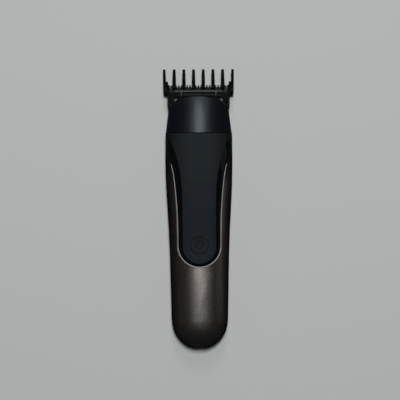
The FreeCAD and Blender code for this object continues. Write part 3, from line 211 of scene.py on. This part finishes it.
def evened(piece, reach, crease):
    """Averages the surface's normals over a reach, within each smooth region, so that long facets don't show."""
    same_side = 0.6               # least cosine between the normals of faces that count for each other
    own_share = 0.5               # weight of the faces that meet at the corner itself
    mesh = bmesh.new()
    mesh.from_mesh(piece.data)
    mesh.faces.ensure_lookup_table()
    region = [-1] * len(mesh.faces)
    regions = 0
    for seed in mesh.faces:
        if region[seed.index] >= 0:
            continue
        region[seed.index] = regions
        waiting = [seed]
        while waiting:
            face = waiting.pop()
            for edge in face.edges:
                if len(edge.link_faces) != 2 or edge.calc_face_angle(math.pi) > crease:
                    continue
                for other in edge.link_faces:
                    if region[other.index] < 0:
                        region[other.index] = regions
                        waiting.append(other)
        regions += 1
    trees = {}
    members = {}
    for face in mesh.faces:
        members.setdefault(region[face.index], []).append(face)
    for number, faces in members.items():
        tree = KDTree(len(faces))
        for place, face in enumerate(faces):
            tree.insert(face.calc_center_median(), place)
        tree.balance()
        trees[number] = tree
    found = {}
    normals = []
    for face in mesh.faces:
        number = region[face.index]
        faces = members[number]
        for loop in face.loops:
            key = (loop.vert.index, number)
            if key not in found:
                total = Vector((0, 0, 0))
                for _, place, distance in trees[number].find_range(loop.vert.co, reach):
                    near = faces[place]
                    if near.normal.dot(face.normal) > same_side:
                        total += near.normal * near.calc_area() * (1 - distance / reach)
                for near in loop.vert.link_faces:
                    if region[near.index] == number:
                        total += near.normal * near.calc_area() * own_share
                found[key] = total.normalized() if total.length > 1e-15 else face.normal.copy()
            normals.append(found[key])
    mesh.free()
    piece.data.normals_split_custom_set(normals)


def moulded(name, node, body, finish, edge=0.00012, crease=40, reach=0.0):
    """A smooth copy of a node with its sharp edges rounded over, as they leave the mould."""
    merge = 0.000002
    flat = math.radians(0.5)
    piece = bpy.data.objects.new(name, nodes[node].data.copy())
    bpy.context.scene.collection.objects.link(piece)
    bpy.ops.object.select_all(action="DESELECT")
    bpy.context.view_layer.objects.active = piece
    piece.select_set(True)
    bpy.ops.mesh.customdata_custom_splitnormals_clear()
    bpy.ops.object.mode_set(mode="EDIT")
    bpy.ops.mesh.select_all(action="SELECT")
    bpy.ops.mesh.remove_doubles(threshold=merge)
    bpy.ops.mesh.dissolve_limited(angle_limit=flat)
    bpy.ops.object.mode_set(mode="OBJECT")
    if edge:
        rounding = piece.modifiers.new("rounding", "BEVEL")
        rounding.width = edge
        rounding.segments = 1 if reach else 2
        rounding.limit_method = "ANGLE"
        rounding.angle_limit = math.radians(crease)
        bpy.ops.object.modifier_apply(modifier=rounding.name)
    bpy.ops.object.shade_smooth_by_angle(angle=math.radians(crease))
    if reach:
        evened(piece, reach, math.radians(crease - 10))
    piece.data.materials.clear()
    piece.data.materials.append(finish)
    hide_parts(node)
    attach(piece, body)
    return piece


graphite = new_finish("graphite_paint", (0.12, 0.11, 0.104), 0.33, 1.0)
colour_between(graphite, cells(graphite, 0.00025, output="Color"), (0.142, 0.130, 0.122),
               (0.222, 0.206, 0.195), 0.2, 0.9)
graphite.node_tree.nodes["Principled BSDF"].inputs["Specular Tint"].default_value = (0.1, 0.1, 0.1, 1)
roughness_from(graphite, mapped(graphite, noise(graphite, 0.0015), 0.29, 0.32))
bumped(graphite, noise(graphite, 0.0004), 0.00001, 0.5)
moulded("rear_shell", "rear_housing", "handle", graphite, 0.00008, reach=0.008)

# ---- front housing and trim -----------------------------------------------------------------------------
# The black front panel with the collar that carries the head: gloss-moulded ABS with a polished border round
# the soft pad. A thin silver strip, hot-stamped plastic, edges it where it meets the painted shell.
gloss_black = new_finish("collar_black", (0.0008, 0.0012, 0.0016), 0.14, 0.0, Specular_IOR_Level=0.35)
roughness_from(gloss_black, mapped(gloss_black, noise(gloss_black, 0.004), 0.12, 0.2))
bumped(gloss_black, noise(gloss_black, 0.003, 1.0), 0.000004, 0.4)
moulded("front_shell", "front_housing", "handle", gloss_black, 0.00008, reach=0.004)
silver = new_finish("trim_silver", (0.27, 0.263, 0.255), 0.42, 0.5)
roughness_from(silver, mapped(silver, noise(silver, 0.001, scale=(1, 0.2, 1)), 0.38, 0.46))
bumped(silver, noise(silver, 0.0006), 0.000004, 0.4)
strip = moulded("silver_strip", "trim_strip", "handle", silver, 0.0001)
strip_low, strip_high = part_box("trim_strip")
strip_thinning = 0.0004        # the silver stops this far from the gloss border, at a fine dark groove
walls = bmesh.new()
walls.from_mesh(strip.data)
inner_wall = 0.7               # least cosine between an inner wall's normal and the way to the middle
arc_along = strip_low[1] + strip_high[0]
for corner in walls.verts:
    spine = Vector((0, max(corner.co.y, arc_along), 0))
    inward = Vector((spine.x - corner.co.x, spine.y - corner.co.y, 0)).normalized()
    facing = [face.normal for face in corner.link_faces if face.normal.dot(inward) > inner_wall]
    if facing:
        aside = sum(facing, Vector((0, 0, 0)))
        aside.z = 0
        corner.co -= aside.normalized() * strip_thinning
walls.to_mesh(strip.data)
walls.free()

# ---- soft grip pad --------------------------------------------------------------------------------------
# A thermoplastic rubber pad moulded over the front panel. Its upper part is smooth; towards the button it
# carries staggered rows of tiny raised dots that fade in for the thumb.
rubber = new_finish("pad_rubber", (0.0045, 0.008, 0.011), 0.85, 0.0, Specular_IOR_Level=0.25)
# The rubber's colour is painted darker towards the pad's sides: painted shade where the pad curves away from the
# light.
colour_between(rubber, mapped(rubber, coordinate(rubber, "X", folded=True), 0, 1, 0.007, 0.0165),
               (0.0046, 0.0082, 0.0112), (0.0008, 0.0018, 0.0026), 0.0, 1.0)
roughness_from(rubber, mapped(rubber, noise(rubber, 0.0006), 0.78, 0.86))
bumped(rubber, noise(rubber, 0.00022, 2.0), 0.000012, 0.6)
moulded("soft_pad", "grip_pad", "handle", rubber, 0.0002, reach=0.005)

button_low, button_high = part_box("power_button")
button_middle = (Vector(button_low) + Vector(button_high)) / 2
pad_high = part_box("grip_pad")[1]
overhead = 0.1                    # height from which rays are cast down onto a surface
button_room = 0.0066              # no dots this near to the button's middle
edge_room = 0.0008                # nor this near to the pad's sides
flattest = 0.85                   # nor where the pad turns down more than this cosine
dot_pitch = 0.00115
dot_radius = 0.0004
dot_rise = 0.00038              # of the tallest dots, next to the button
dot_reach = 0.040               # the dots have faded out this far above the button
bpy.ops.object.select_all(action="DESELECT")
bpy.ops.mesh.primitive_uv_sphere_add(segments=8, ring_count=4, radius=dot_radius)
dot = bpy.context.object
dots = bmesh.new()
pad = bpy.data.objects["soft_pad"]


def pad_surface(x, y):
    """The place and the normal of the pad under a point, or nothing beside it and next to the button."""
    if math.hypot(x - button_middle.x, y - button_middle.y) < button_room:
        return None
    for side_step in (-edge_room, edge_room):
        if not pad.ray_cast(Vector((x + side_step, y, overhead)), Vector((0, 0, -1)))[0]:
            return None
    struck, place, normal, _ = pad.ray_cast(Vector((x, y, overhead)), Vector((0, 0, -1)))
    return (place, normal) if struck and normal.z > flattest else None


rows = int(dot_reach / dot_pitch)
rows_below = 3                    # rows of dots beside the button's lower half
fade = 1.6
columns = int(pad_high[0] / dot_pitch)
for row in range(-rows_below, rows):
    y = button_middle.y + row * dot_pitch
    rise = dot_rise * min(1.0, 1.15 * (rows - row) / rows) ** fade
    for column in range(-columns, columns + 1):
        x = (column + 0.5 * (row % 2)) * dot_pitch
        found = pad_surface(x, y)
        if not found:
            continue
        place, normal = found
        turn = normal.to_track_quat("Z", "Y").to_matrix().to_4x4()
        shape = Matrix.Translation(place) @ turn @ Matrix.Diagonal((1, 1, rise / dot_radius, 1))
        first = len(dots.verts)
        dots.from_mesh(dot.data)
        dots.verts.ensure_lookup_table()
        bmesh.ops.transform(dots, matrix=shape, verts=dots.verts[first:])
pad_dots = bpy.data.objects.new("pad_dots", bpy.data.meshes.new("pad_dots"))
dots.to_mesh(pad_dots.data)
dots.free()
bpy.data.objects.remove(dot)
bpy.context.scene.collection.objects.link(pad_dots)
for polygon in pad_dots.data.polygons:
    polygon.use_smooth = True
pad_dots.data.materials.append(rubber)
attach(pad_dots, "handle")

# ---- power button and switch ----------------------------------------------------------------------------
# A round matt black push button in a hole of the pad, with a raised power symbol, pressed onto a tact switch
# on the board below it. The switch is black with a white plunger.
button_black = new_finish("button_black", (0.004, 0.007, 0.010), 0.8, 0.0, Specular_IOR_Level=0.22)
# The button's colour is painted darker towards the head: a painted shade, as cast by the rim of its hole.
button_painted_shade = mapped(button_black, coordinate(button_black, "Y"), 0, 1, button_middle.y + 0.001, button_high[1])
colour_between(button_black, button_painted_shade, (0.0042, 0.0075, 0.0102), (0.0004, 0.0010, 0.0015), 0.0, 1.0)
roughness_from(button_black, mapped(button_black, noise(button_black, 0.0006), 0.76, 0.84))
bumped(button_black, noise(button_black, 0.0002, 2.0), 0.000008, 0.5)
moulded("push_button", "power_button", "button", button_black, 0.00015)
mark_radius = 0.0021            # the generic power mark: an open ring with a bar in its gap
mark_line = 0.0002
gap_half = 0.0008
button_face = bpy.data.objects["push_button"].ray_cast(Vector((button_middle.x, button_middle.y, overhead)),
                                                       Vector((0, 0, -1)))[1]
bpy.ops.object.select_all(action="DESELECT")
bpy.ops.mesh.primitive_torus_add(major_segments=40, minor_segments=8, major_radius=mark_radius,
                                 minor_radius=mark_line, location=button_face)
bpy.ops.object.transform_apply(location=True, rotation=True, scale=True)
mark = bpy.context.object
mark.name = "power_mark"
bpy.ops.object.mode_set(mode="EDIT")
ring = bmesh.from_edit_mesh(mark.data)
for face in ring.faces:
    middle = face.calc_center_median()
    face.select = abs(middle.x - button_face.x) < gap_half and middle.y > button_face.y
bmesh.update_edit_mesh(mark.data)
bpy.ops.mesh.delete(type="FACE")
bpy.ops.mesh.select_all(action="SELECT")
bpy.ops.mesh.fill_holes(sides=12)
bpy.ops.object.mode_set(mode="OBJECT")
bpy.ops.object.select_all(action="DESELECT")
bpy.ops.mesh.primitive_uv_sphere_add(segments=10, ring_count=6, radius=mark_line,
                                     location=button_face + Vector((0, mark_radius * 0.75, 0)), scale=(1, 4.5, 1))
bpy.ops.object.transform_apply(location=True, rotation=True, scale=True)
mark.select_set(True)
bpy.context.view_layer.objects.active = mark
bpy.ops.object.join()
bpy.ops.object.shade_smooth()
mark_gloss = new_finish("mark_gloss", (0.0005, 0.0007, 0.0009), 0.55, 0.0, Specular_IOR_Level=0.12)
roughness_from(mark_gloss, mapped(mark_gloss, noise(mark_gloss, 0.0004), 0.5, 0.6))
mark.data.materials.append(mark_gloss)
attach(mark, "button")
chip_black = new_finish("chip_black", (0.02, 0.02, 0.022), 0.5, 0.0)
colour_between(chip_black, noise(chip_black, 0.0008), (0.014, 0.014, 0.016), (0.03, 0.03, 0.032))
bumped(chip_black, noise(chip_black, 0.00015), 0.00001, 0.5)
painted(chip_black, "switch_body")
white_plastic = new_finish("white_plastic", (0.78, 0.77, 0.73), 0.38, 0.0, Subsurface_Weight=0.05)
colour_between(white_plastic, noise(white_plastic, 0.003), (0.74, 0.73, 0.69), (0.80, 0.79, 0.75))
bumped(white_plastic, noise(white_plastic, 0.0004), 0.00001, 0.4)
painted(white_plastic, "switch_plunger")

# ---- battery --------------------------------------------------------------------------------------------
# A rechargeable cell in a heat-shrunk sleeve, held in the chassis with two welded nickel tabs.
sleeve = new_finish("cell_wrap", (0.02, 0.09, 0.22), 0.3, 0.0, Coat_Weight=0.4, Coat_Roughness=0.15)
colour_between(sleeve, noise(sleeve, 0.01), (0.016, 0.075, 0.19), (0.024, 0.10, 0.24))
roughness_from(sleeve, mapped(sleeve, noise(sleeve, 0.002), 0.25, 0.42))
bumped(sleeve, noise(sleeve, 0.002, scale=(1, 0.3, 1)), 0.00004, 0.5)
painted(sleeve, "battery_cell")
nickel = new_finish("nickel", (0.62, 0.60, 0.55), 0.3, 1.0)
roughness_from(nickel, mapped(nickel, noise(nickel, 0.0006, scale=(1, 0.1, 1)), 0.2, 0.42))
painted(nickel, "battery_tabs")

# ---- circuit board --------------------------------------------------------------------------------------
# Green glass-fibre board with a solder mask, carrying the switch, a charging chip and a small lamp.
mask = new_finish("board_green", (0.01, 0.09, 0.035), 0.3, 0.0, Coat_Weight=0.4, Coat_Roughness=0.1)
colour_between(mask, cells(mask, 0.0022, "DISTANCE_TO_EDGE"), (0.02, 0.15, 0.06), (0.008, 0.075, 0.03), 0.04, 0.1)
painted(mask, "circuit_board")
painted(chip_black, "board_parts")
lamp = new_finish("led_clear", (0.85, 0.88, 0.9), 0.12, 0.0, Transmission_Weight=0.4)
roughness_from(lamp, mapped(lamp, noise(lamp, 0.0004), 0.08, 0.2))
painted(lamp, "indicator_light")

# ---- inner frame ----------------------------------------------------------------------------------------
# The chassis that holds cell, board and motor, and the plate with the neck for the head, are plain black
# moulded nylon.
nylon = new_finish("inner_plastic", (0.0025, 0.0032, 0.0036), 0.6, 0.0, Specular_IOR_Level=0.06)
colour_between(nylon, noise(nylon, 0.001), (0.0016, 0.0024, 0.0028), (0.003, 0.0038, 0.0042))
roughness_from(nylon, mapped(nylon, noise(nylon, 0.0008), 0.55, 0.68))
bumped(nylon, noise(nylon, 0.0003), 0.00001, 0.5)
painted(nylon, "chassis", "neck_plate")

# ---- charging socket ------------------------------------------------------------------------------------
# A round jack in the tail: nylon body, nickel-plated barrel and pin, and a soft grommet in the shell's hole.
painted(nylon, "charging_socket")
painted(nickel, "socket_barrel", "socket_pin")
seal = new_finish("seal_rubber", (0.012, 0.012, 0.013), 0.7, 0.0)
bumped(seal, noise(seal, 0.0003), 0.00001, 0.6)
roughness_from(seal, mapped(seal, noise(seal, 0.001), 0.62, 0.78))
painted(seal, "socket_grommet")

# ---- motor ----------------------------------------------------------------------------------------------
# A small direct-current motor: drawn and zinc-plated steel can, white end cap, ground shaft with a nylon cam
# and a drive pin. Screws hold it and the neck plate, and two red leads run to the board.
can_steel = new_finish("motor_steel", (0.50, 0.50, 0.49), 0.32, 1.0)
colour_between(can_steel, noise(can_steel, 0.003, scale=(1, 0.15, 1)), (0.42, 0.42, 0.41), (0.56, 0.56, 0.54))
roughness_from(can_steel, mapped(can_steel, noise(can_steel, 0.0007, scale=(1, 0.1, 1)), 0.26, 0.42))
painted(can_steel, "motor_can")
painted(white_plastic, "motor_cap", "eccentric_cam")
painted(nickel, "motor_terminals")
shaft_steel = new_finish("shaft_steel", (0.60, 0.60, 0.60), 0.2, 1.0)
roughness_from(shaft_steel, mapped(shaft_steel, noise(shaft_steel, 0.0003, scale=(0.2, 1, 0.2)), 0.14, 0.3))
painted(shaft_steel, "motor_shaft", "drive_pin")
screw_steel = new_finish("screw_steel", (0.48, 0.47, 0.45), 0.28, 1.0)
roughness_from(screw_steel, mapped(screw_steel, noise(screw_steel, 0.0005), 0.2, 0.4))
painted(screw_steel, "motor_screws", "neck_screws")
lead_red = new_finish("wire_red", (0.42, 0.015, 0.012), 0.45, 0.0)
colour_between(lead_red, noise(lead_red, 0.002), (0.38, 0.012, 0.010), (0.48, 0.02, 0.016))
bumped(lead_red, noise(lead_red, 0.0005), 0.00001, 0.5)
painted(lead_red, "motor_leads")

# ---- head shell -----------------------------------------------------------------------------------------
# The pull-off cutting head's cover, moulded ABS with a satin soft-touch lacquer in dark blue-grey. It snaps
# over the neck, and the blade carrier is pushed into it.
satin = new_finish("head_satin", (0.003, 0.0045, 0.006), 0.25, 0.0, Specular_IOR_Level=0.33,
                   Specular_Tint=(0.82, 0.93, 1.0, 1))
colour_between(satin, noise(satin, 0.0012), (0.0025, 0.004, 0.0055), (0.0035, 0.005, 0.0065))
roughness_from(satin, mapped(satin, noise(satin, 0.006, 1.0), 0.249, 0.254))
bumped(satin, noise(satin, 0.0005, 1.0), 0.0000005, 0.5)
moulded("head_cover", "head_shell", "head", satin, 0.0001, reach=0.008)

# ---- blade set ------------------------------------------------------------------------------------------
# Fixed and moving blade, stamped from stainless strip. Their steel is painted dark behind the guide's front edge,
# a painted shade where the guide and head cover it, and lighter towards the tips. They lean eight degrees on a
# nylon carrier, and a guide and a yoke drive the cutter.
painted(nylon, "blade_carrier", "cutter_guide", "drive_yoke")


def shaded_behind_guide(name, dark, light, start, end):
    """Steel painted dark before one place along the trimmer and lighter past another: painted shade behind the
    guide.
    """
    made = new_finish(name, dark, 0.4, 1.0, Specular_Tint=(0.2, 0.2, 0.2, 1))
    colour_between(made, mapped(made, coordinate(made, "Y"), 0, 1, start, end), dark, light, 0.0, 1.0)
    roughness_from(made, mapped(made, noise(made, 0.0004, scale=(0.08, 1, 1)), 0.34, 0.46))
    bumped(made, noise(made, 0.0002, scale=(0.05, 1, 1)), 0.000006, 0.5)
    return made


guide_low, guide_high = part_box("cutter_guide")
# The blade steel's two tones: painted shade behind the guide's front edge, plain lit steel past it.
shaded_steel_tone = (0.0016, 0.0017, 0.0019)
lit_steel_tone = (0.0062, 0.0066, 0.0070)
shade_fade_start = guide_high[1] - 0.0004
shade_fade_end = guide_high[1] + 0.0002
blade_steel = shaded_behind_guide("blade_steel", shaded_steel_tone, lit_steel_tone, shade_fade_start, shade_fade_end)
cutter_steel = shaded_behind_guide("cutter_steel", shaded_steel_tone, lit_steel_tone, shade_fade_start, shade_fade_end)
painted(cutter_steel, "moving_blade")
blade_low, blade_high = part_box("fixed_blade")
blade_half = blade_high[0]
blade_lean = math.radians(8)
blade_thick = 0.001
blade_length = (blade_high[1] - blade_low[1] - blade_thick * math.sin(blade_lean)) / math.cos(blade_lean)
blade_rear = blade_low[1]
blade_front = blade_rear + blade_length
blade_under = blade_high[2] - blade_thick * math.cos(blade_lean)
heel_length = 0.0029           # of the cut that narrows the blade's rear corners
heel_step = 0.0044             # and how far it comes in
guard_corner = 0.0009
skin_bevel = 0.0005
tooth_pitch = 0.001689
tooth_gaps = 18
gap_width = 0.00062
gap_length = 0.00115
gap_first = -tooth_pitch * (tooth_gaps - 1) / 2
point_rounding = 0.00008
near_enough = 1e-5             # how closely an edge has to lie to a place to be picked


def slab_between(name, low, high):
    """A cube primitive stretched between two corners, with its place in its mesh."""
    bpy.ops.object.select_all(action="DESELECT")
    middle = [(a + b) / 2 for a, b in zip(low, high)]
    bpy.ops.mesh.primitive_cube_add(size=1, location=middle, scale=[b - a for a, b in zip(low, high)])
    bpy.ops.object.transform_apply(location=True, rotation=True, scale=True)
    piece = bpy.context.object
    piece.name = name
    return piece


def edges_chosen(choose):
    """In edit mode, selects the edges whose middle passes a test."""
    mesh = bmesh.from_edit_mesh(bpy.context.object.data)
    mesh.select_mode = {"EDGE"}
    for edge in mesh.edges:
        edge.select = choose((edge.verts[0].co + edge.verts[1].co) / 2)
    mesh.select_flush_mode()
    bmesh.update_edit_mesh(bpy.context.object.data)


def repeated(piece, count, step):
    """An array of a piece in a row, applied."""
    bpy.context.view_layer.objects.active = piece
    row = piece.modifiers.new("row", "ARRAY")
    row.count = count
    row.use_relative_offset = False
    row.use_constant_offset = True
    row.constant_offset_displace = (step, 0, 0)
    bpy.ops.object.modifier_apply(modifier="row")


plate = slab_between("blade_plate", (-blade_half, blade_rear, blade_under),
                     (blade_half, blade_front, blade_under + blade_thick))
bpy.ops.object.mode_set(mode="EDIT")
edges_chosen(lambda middle: middle.y < blade_rear + near_enough and abs(middle.x) > blade_half - near_enough)
bpy.ops.mesh.bevel(offset=heel_length, segments=1)
edges_chosen(lambda middle: middle.y < blade_rear + near_enough)
bpy.ops.transform.resize(value=((blade_half - heel_step) / (blade_half - heel_length), 1, 1))
edges_chosen(lambda middle: middle.y > blade_front - near_enough and abs(middle.x) > blade_half - near_enough)
bpy.ops.mesh.bevel(offset=guard_corner, segments=3)
edges_chosen(lambda middle: middle.y > blade_front - near_enough and middle.z < blade_under + near_enough
             and abs(middle.x) < near_enough)
bpy.ops.mesh.bevel(offset=skin_bevel, segments=1)
bpy.ops.object.mode_set(mode="OBJECT")
gap = slab_between("gap", (gap_first - gap_width / 2, blade_front - gap_length, blade_under - blade_thick),
                   (gap_first + gap_width / 2, blade_front + 0.0002, blade_under + 2 * blade_thick))
repeated(gap, tooth_gaps, tooth_pitch)
bpy.ops.object.select_all(action="DESELECT")
bpy.context.view_layer.objects.active = plate
plate.select_set(True)
cut = plate.modifiers.new("teeth", "BOOLEAN")
cut.operation = "DIFFERENCE"
cut.object = gap
bpy.ops.object.modifier_apply(modifier="teeth")
bpy.data.objects.remove(gap)
points = plate.modifiers.new("points", "BEVEL")
points.width = point_rounding
points.segments = 1
points.limit_method = "ANGLE"
bpy.ops.object.modifier_apply(modifier="points")
bpy.ops.object.shade_smooth_by_angle(angle=math.radians(30))
heel = Vector((0, blade_rear, blade_under))
lean = Matrix.Rotation(-blade_lean, 4, "X")
plate.data.transform(Matrix.Translation(heel) @ lean @ Matrix.Translation(-heel))
plate.data.materials.append(blade_steel)
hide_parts("fixed_blade")
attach(plate, "head")


def top_of(node, x, y):
    """The highest point of a CAD node under a place."""
    return nodes[node].ray_cast(Vector((x, y, overhead)), Vector((0, 0, -1)))[1]


def on_the_lean(piece, name, foot, finish, body):
    """Leans a flat-made piece about its foot, and gives it a name, a finish and a body."""
    piece.data.transform(Matrix.Translation(foot) @ lean @ Matrix.Translation(-foot))
    piece.name = name
    bpy.context.view_layer.objects.active = piece
    piece.select_set(True)
    bpy.ops.object.shade_smooth_by_angle(angle=math.radians(30))
    piece.data.materials.append(finish)
    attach(piece, body)


# The cutter's ground face starts in a row of small bright facets, just ahead of the guide.
ground_edge = new_finish("ground_edge", (0.06, 0.06, 0.06), 0.38, 1.0)
roughness_from(ground_edge, mapped(ground_edge, noise(ground_edge, 0.0003), 0.34, 0.44))
facet_pitch = 0.00096
facet_count = 29
facet_first = -facet_pitch * (facet_count - 1) / 2
facet_half = Vector((0.00028, 0.0003, 0.0))
facet_rise = 0.0001
facet_depth = 0.00005
facet_bevel = 0.00008
facet_foot = top_of("moving_blade", 0, guide_high[1] + 0.0004)
facet_middle = facet_foot + Vector((facet_first, 0, 0))
facet = slab_between("facet", facet_middle - facet_half - Vector((0, 0, facet_depth)),
                     facet_middle + facet_half + Vector((0, 0, facet_rise)))
bpy.ops.object.mode_set(mode="EDIT")
edges_chosen(lambda middle: middle.z > facet_foot.z + facet_rise - near_enough)
bpy.ops.mesh.bevel(offset=facet_bevel, segments=1)
bpy.ops.object.mode_set(mode="OBJECT")
repeated(facet, facet_count, facet_pitch)
on_the_lean(facet, "ground_facets", facet_foot, ground_edge, "cutter")

# The guide is moulded with two fields of slanted ribs and a gate mark between them.
rib_black = new_finish("rib_black", (0.009, 0.0095, 0.0105), 0.5, 0.0, Specular_IOR_Level=0.25)
colour_between(rib_black, noise(rib_black, 0.0004), (0.007, 0.0075, 0.0085), (0.012, 0.0125, 0.0135))
bumped(rib_black, noise(rib_black, 0.0002), 0.000005, 0.5)
rib_count = 9
rib_pitch = 0.00085
rib_starts = (-0.0084, 0.0016)       # the first rib of each field; the spring's arms stay clear of the last ones
rib_slant = math.radians(-35)
rib_half = Vector((0.00014, 0.00065, 0.0))
rib_rise = 0.00012
rib_depth = 0.0001
rib_along = (guide_low[1] + guide_high[1]) / 2 + 0.00005
smooth_place = 0.0051                # across, a place on the guide's top that is clear of its grooves
gate_radius = 0.0007
gate_depth = 0.0002
gate_offset = -0.0003                # across, from the middle
rib_foot = top_of("cutter_guide", smooth_place, rib_along)
rib_foot.x = 0
ribs = []
for start in rib_starts:
    rib = slab_between("rib", rib_foot - rib_half - Vector((0, 0, rib_depth)),
                       rib_foot + rib_half + Vector((0, 0, rib_rise)))
    slant = Matrix.Translation((start, rib_foot.y, 0)) @ Matrix.Rotation(rib_slant, 4, "Z")
    rib.data.transform(slant @ Matrix.Translation((0, -rib_foot.y, 0)))
    repeated(rib, rib_count, rib_pitch)
    ribs.append(rib)
bpy.ops.object.select_all(action="DESELECT")
bpy.ops.mesh.primitive_cylinder_add(vertices=24, radius=gate_radius, depth=gate_depth,
                                    location=rib_foot + Vector((gate_offset, 0, 0)))
bpy.ops.object.transform_apply(location=True, rotation=True, scale=True)
ribs.append(bpy.context.object)
for rib in ribs:
    rib.select_set(True)
bpy.ops.object.join()
on_the_lean(bpy.context.object, "guide_ribs", rib_foot, rib_black, "cutter")

# Two blackened screws hold the blade, and a blackened wire spring presses the guide down; the beads at the
# ends of its arms are polished by the cutter's strokes.
black_screw = new_finish("black_screw", (0.02, 0.02, 0.021), 0.38, 1.0)
roughness_from(black_screw, mapped(black_screw, noise(black_screw, 0.0004), 0.36, 0.46))
painted(black_screw, "blade_screws")
spring_black = new_finish("spring_black", (0.012, 0.012, 0.012), 0.42, 1.0)
roughness_from(spring_black, mapped(spring_black, noise(spring_black, 0.0005), 0.38, 0.48))
painted(spring_black, "cutter_spring")
spring_steel = new_finish("spring_steel", (0.32, 0.32, 0.31), 0.34, 1.0)
roughness_from(spring_steel, mapped(spring_steel, noise(spring_steel, 0.0003), 0.3, 0.4))
spring_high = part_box("cutter_spring")[1]
wire_radius = 0.0004
bead_radius = 0.00052
bead_places = (0.0004, 0.0018)       # behind the tips of the spring's arms
beads = []
for side in (-1, 1):
    for behind in bead_places:
        top = top_of("cutter_spring", side * (spring_high[0] - wire_radius), spring_high[1] - behind)
        bpy.ops.object.select_all(action="DESELECT")
        bpy.ops.mesh.primitive_uv_sphere_add(segments=12, ring_count=8, radius=bead_radius,
                                             location=top - Vector((0, 0, wire_radius)), scale=(1, 0.8, 1))
        bpy.ops.object.transform_apply(location=True, rotation=True, scale=True)
        beads.append(bpy.context.object)
for bead in beads:
    bead.select_set(True)
bpy.ops.object.join()
spring_beads = bpy.context.object
spring_beads.name = "spring_beads"
bpy.ops.object.shade_smooth()
spring_beads.data.materials.append(spring_steel)
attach(spring_beads, "head")

# ---- guide comb -----------------------------------------------------------------------------------------
# The clip-on beard comb, one piece of black glass-filled nylon with eight long fins. Its side arms grip the
# head's rails.
comb_black = new_finish("comb_black", (0.001, 0.0013, 0.0016), 0.50, 0.0, Specular_IOR_Level=0.05)
colour_between(comb_black, noise(comb_black, 0.001), (0.0007, 0.001, 0.0012), (0.0014, 0.0018, 0.0022))
roughness_from(comb_black, mapped(comb_black, noise(comb_black, 0.0007), 0.46, 0.55))
bumped(comb_black, noise(comb_black, 0.0003), 0.00001, 0.5)
moulded("beard_comb", "guide_comb", "comb", comb_black, 0.0001)
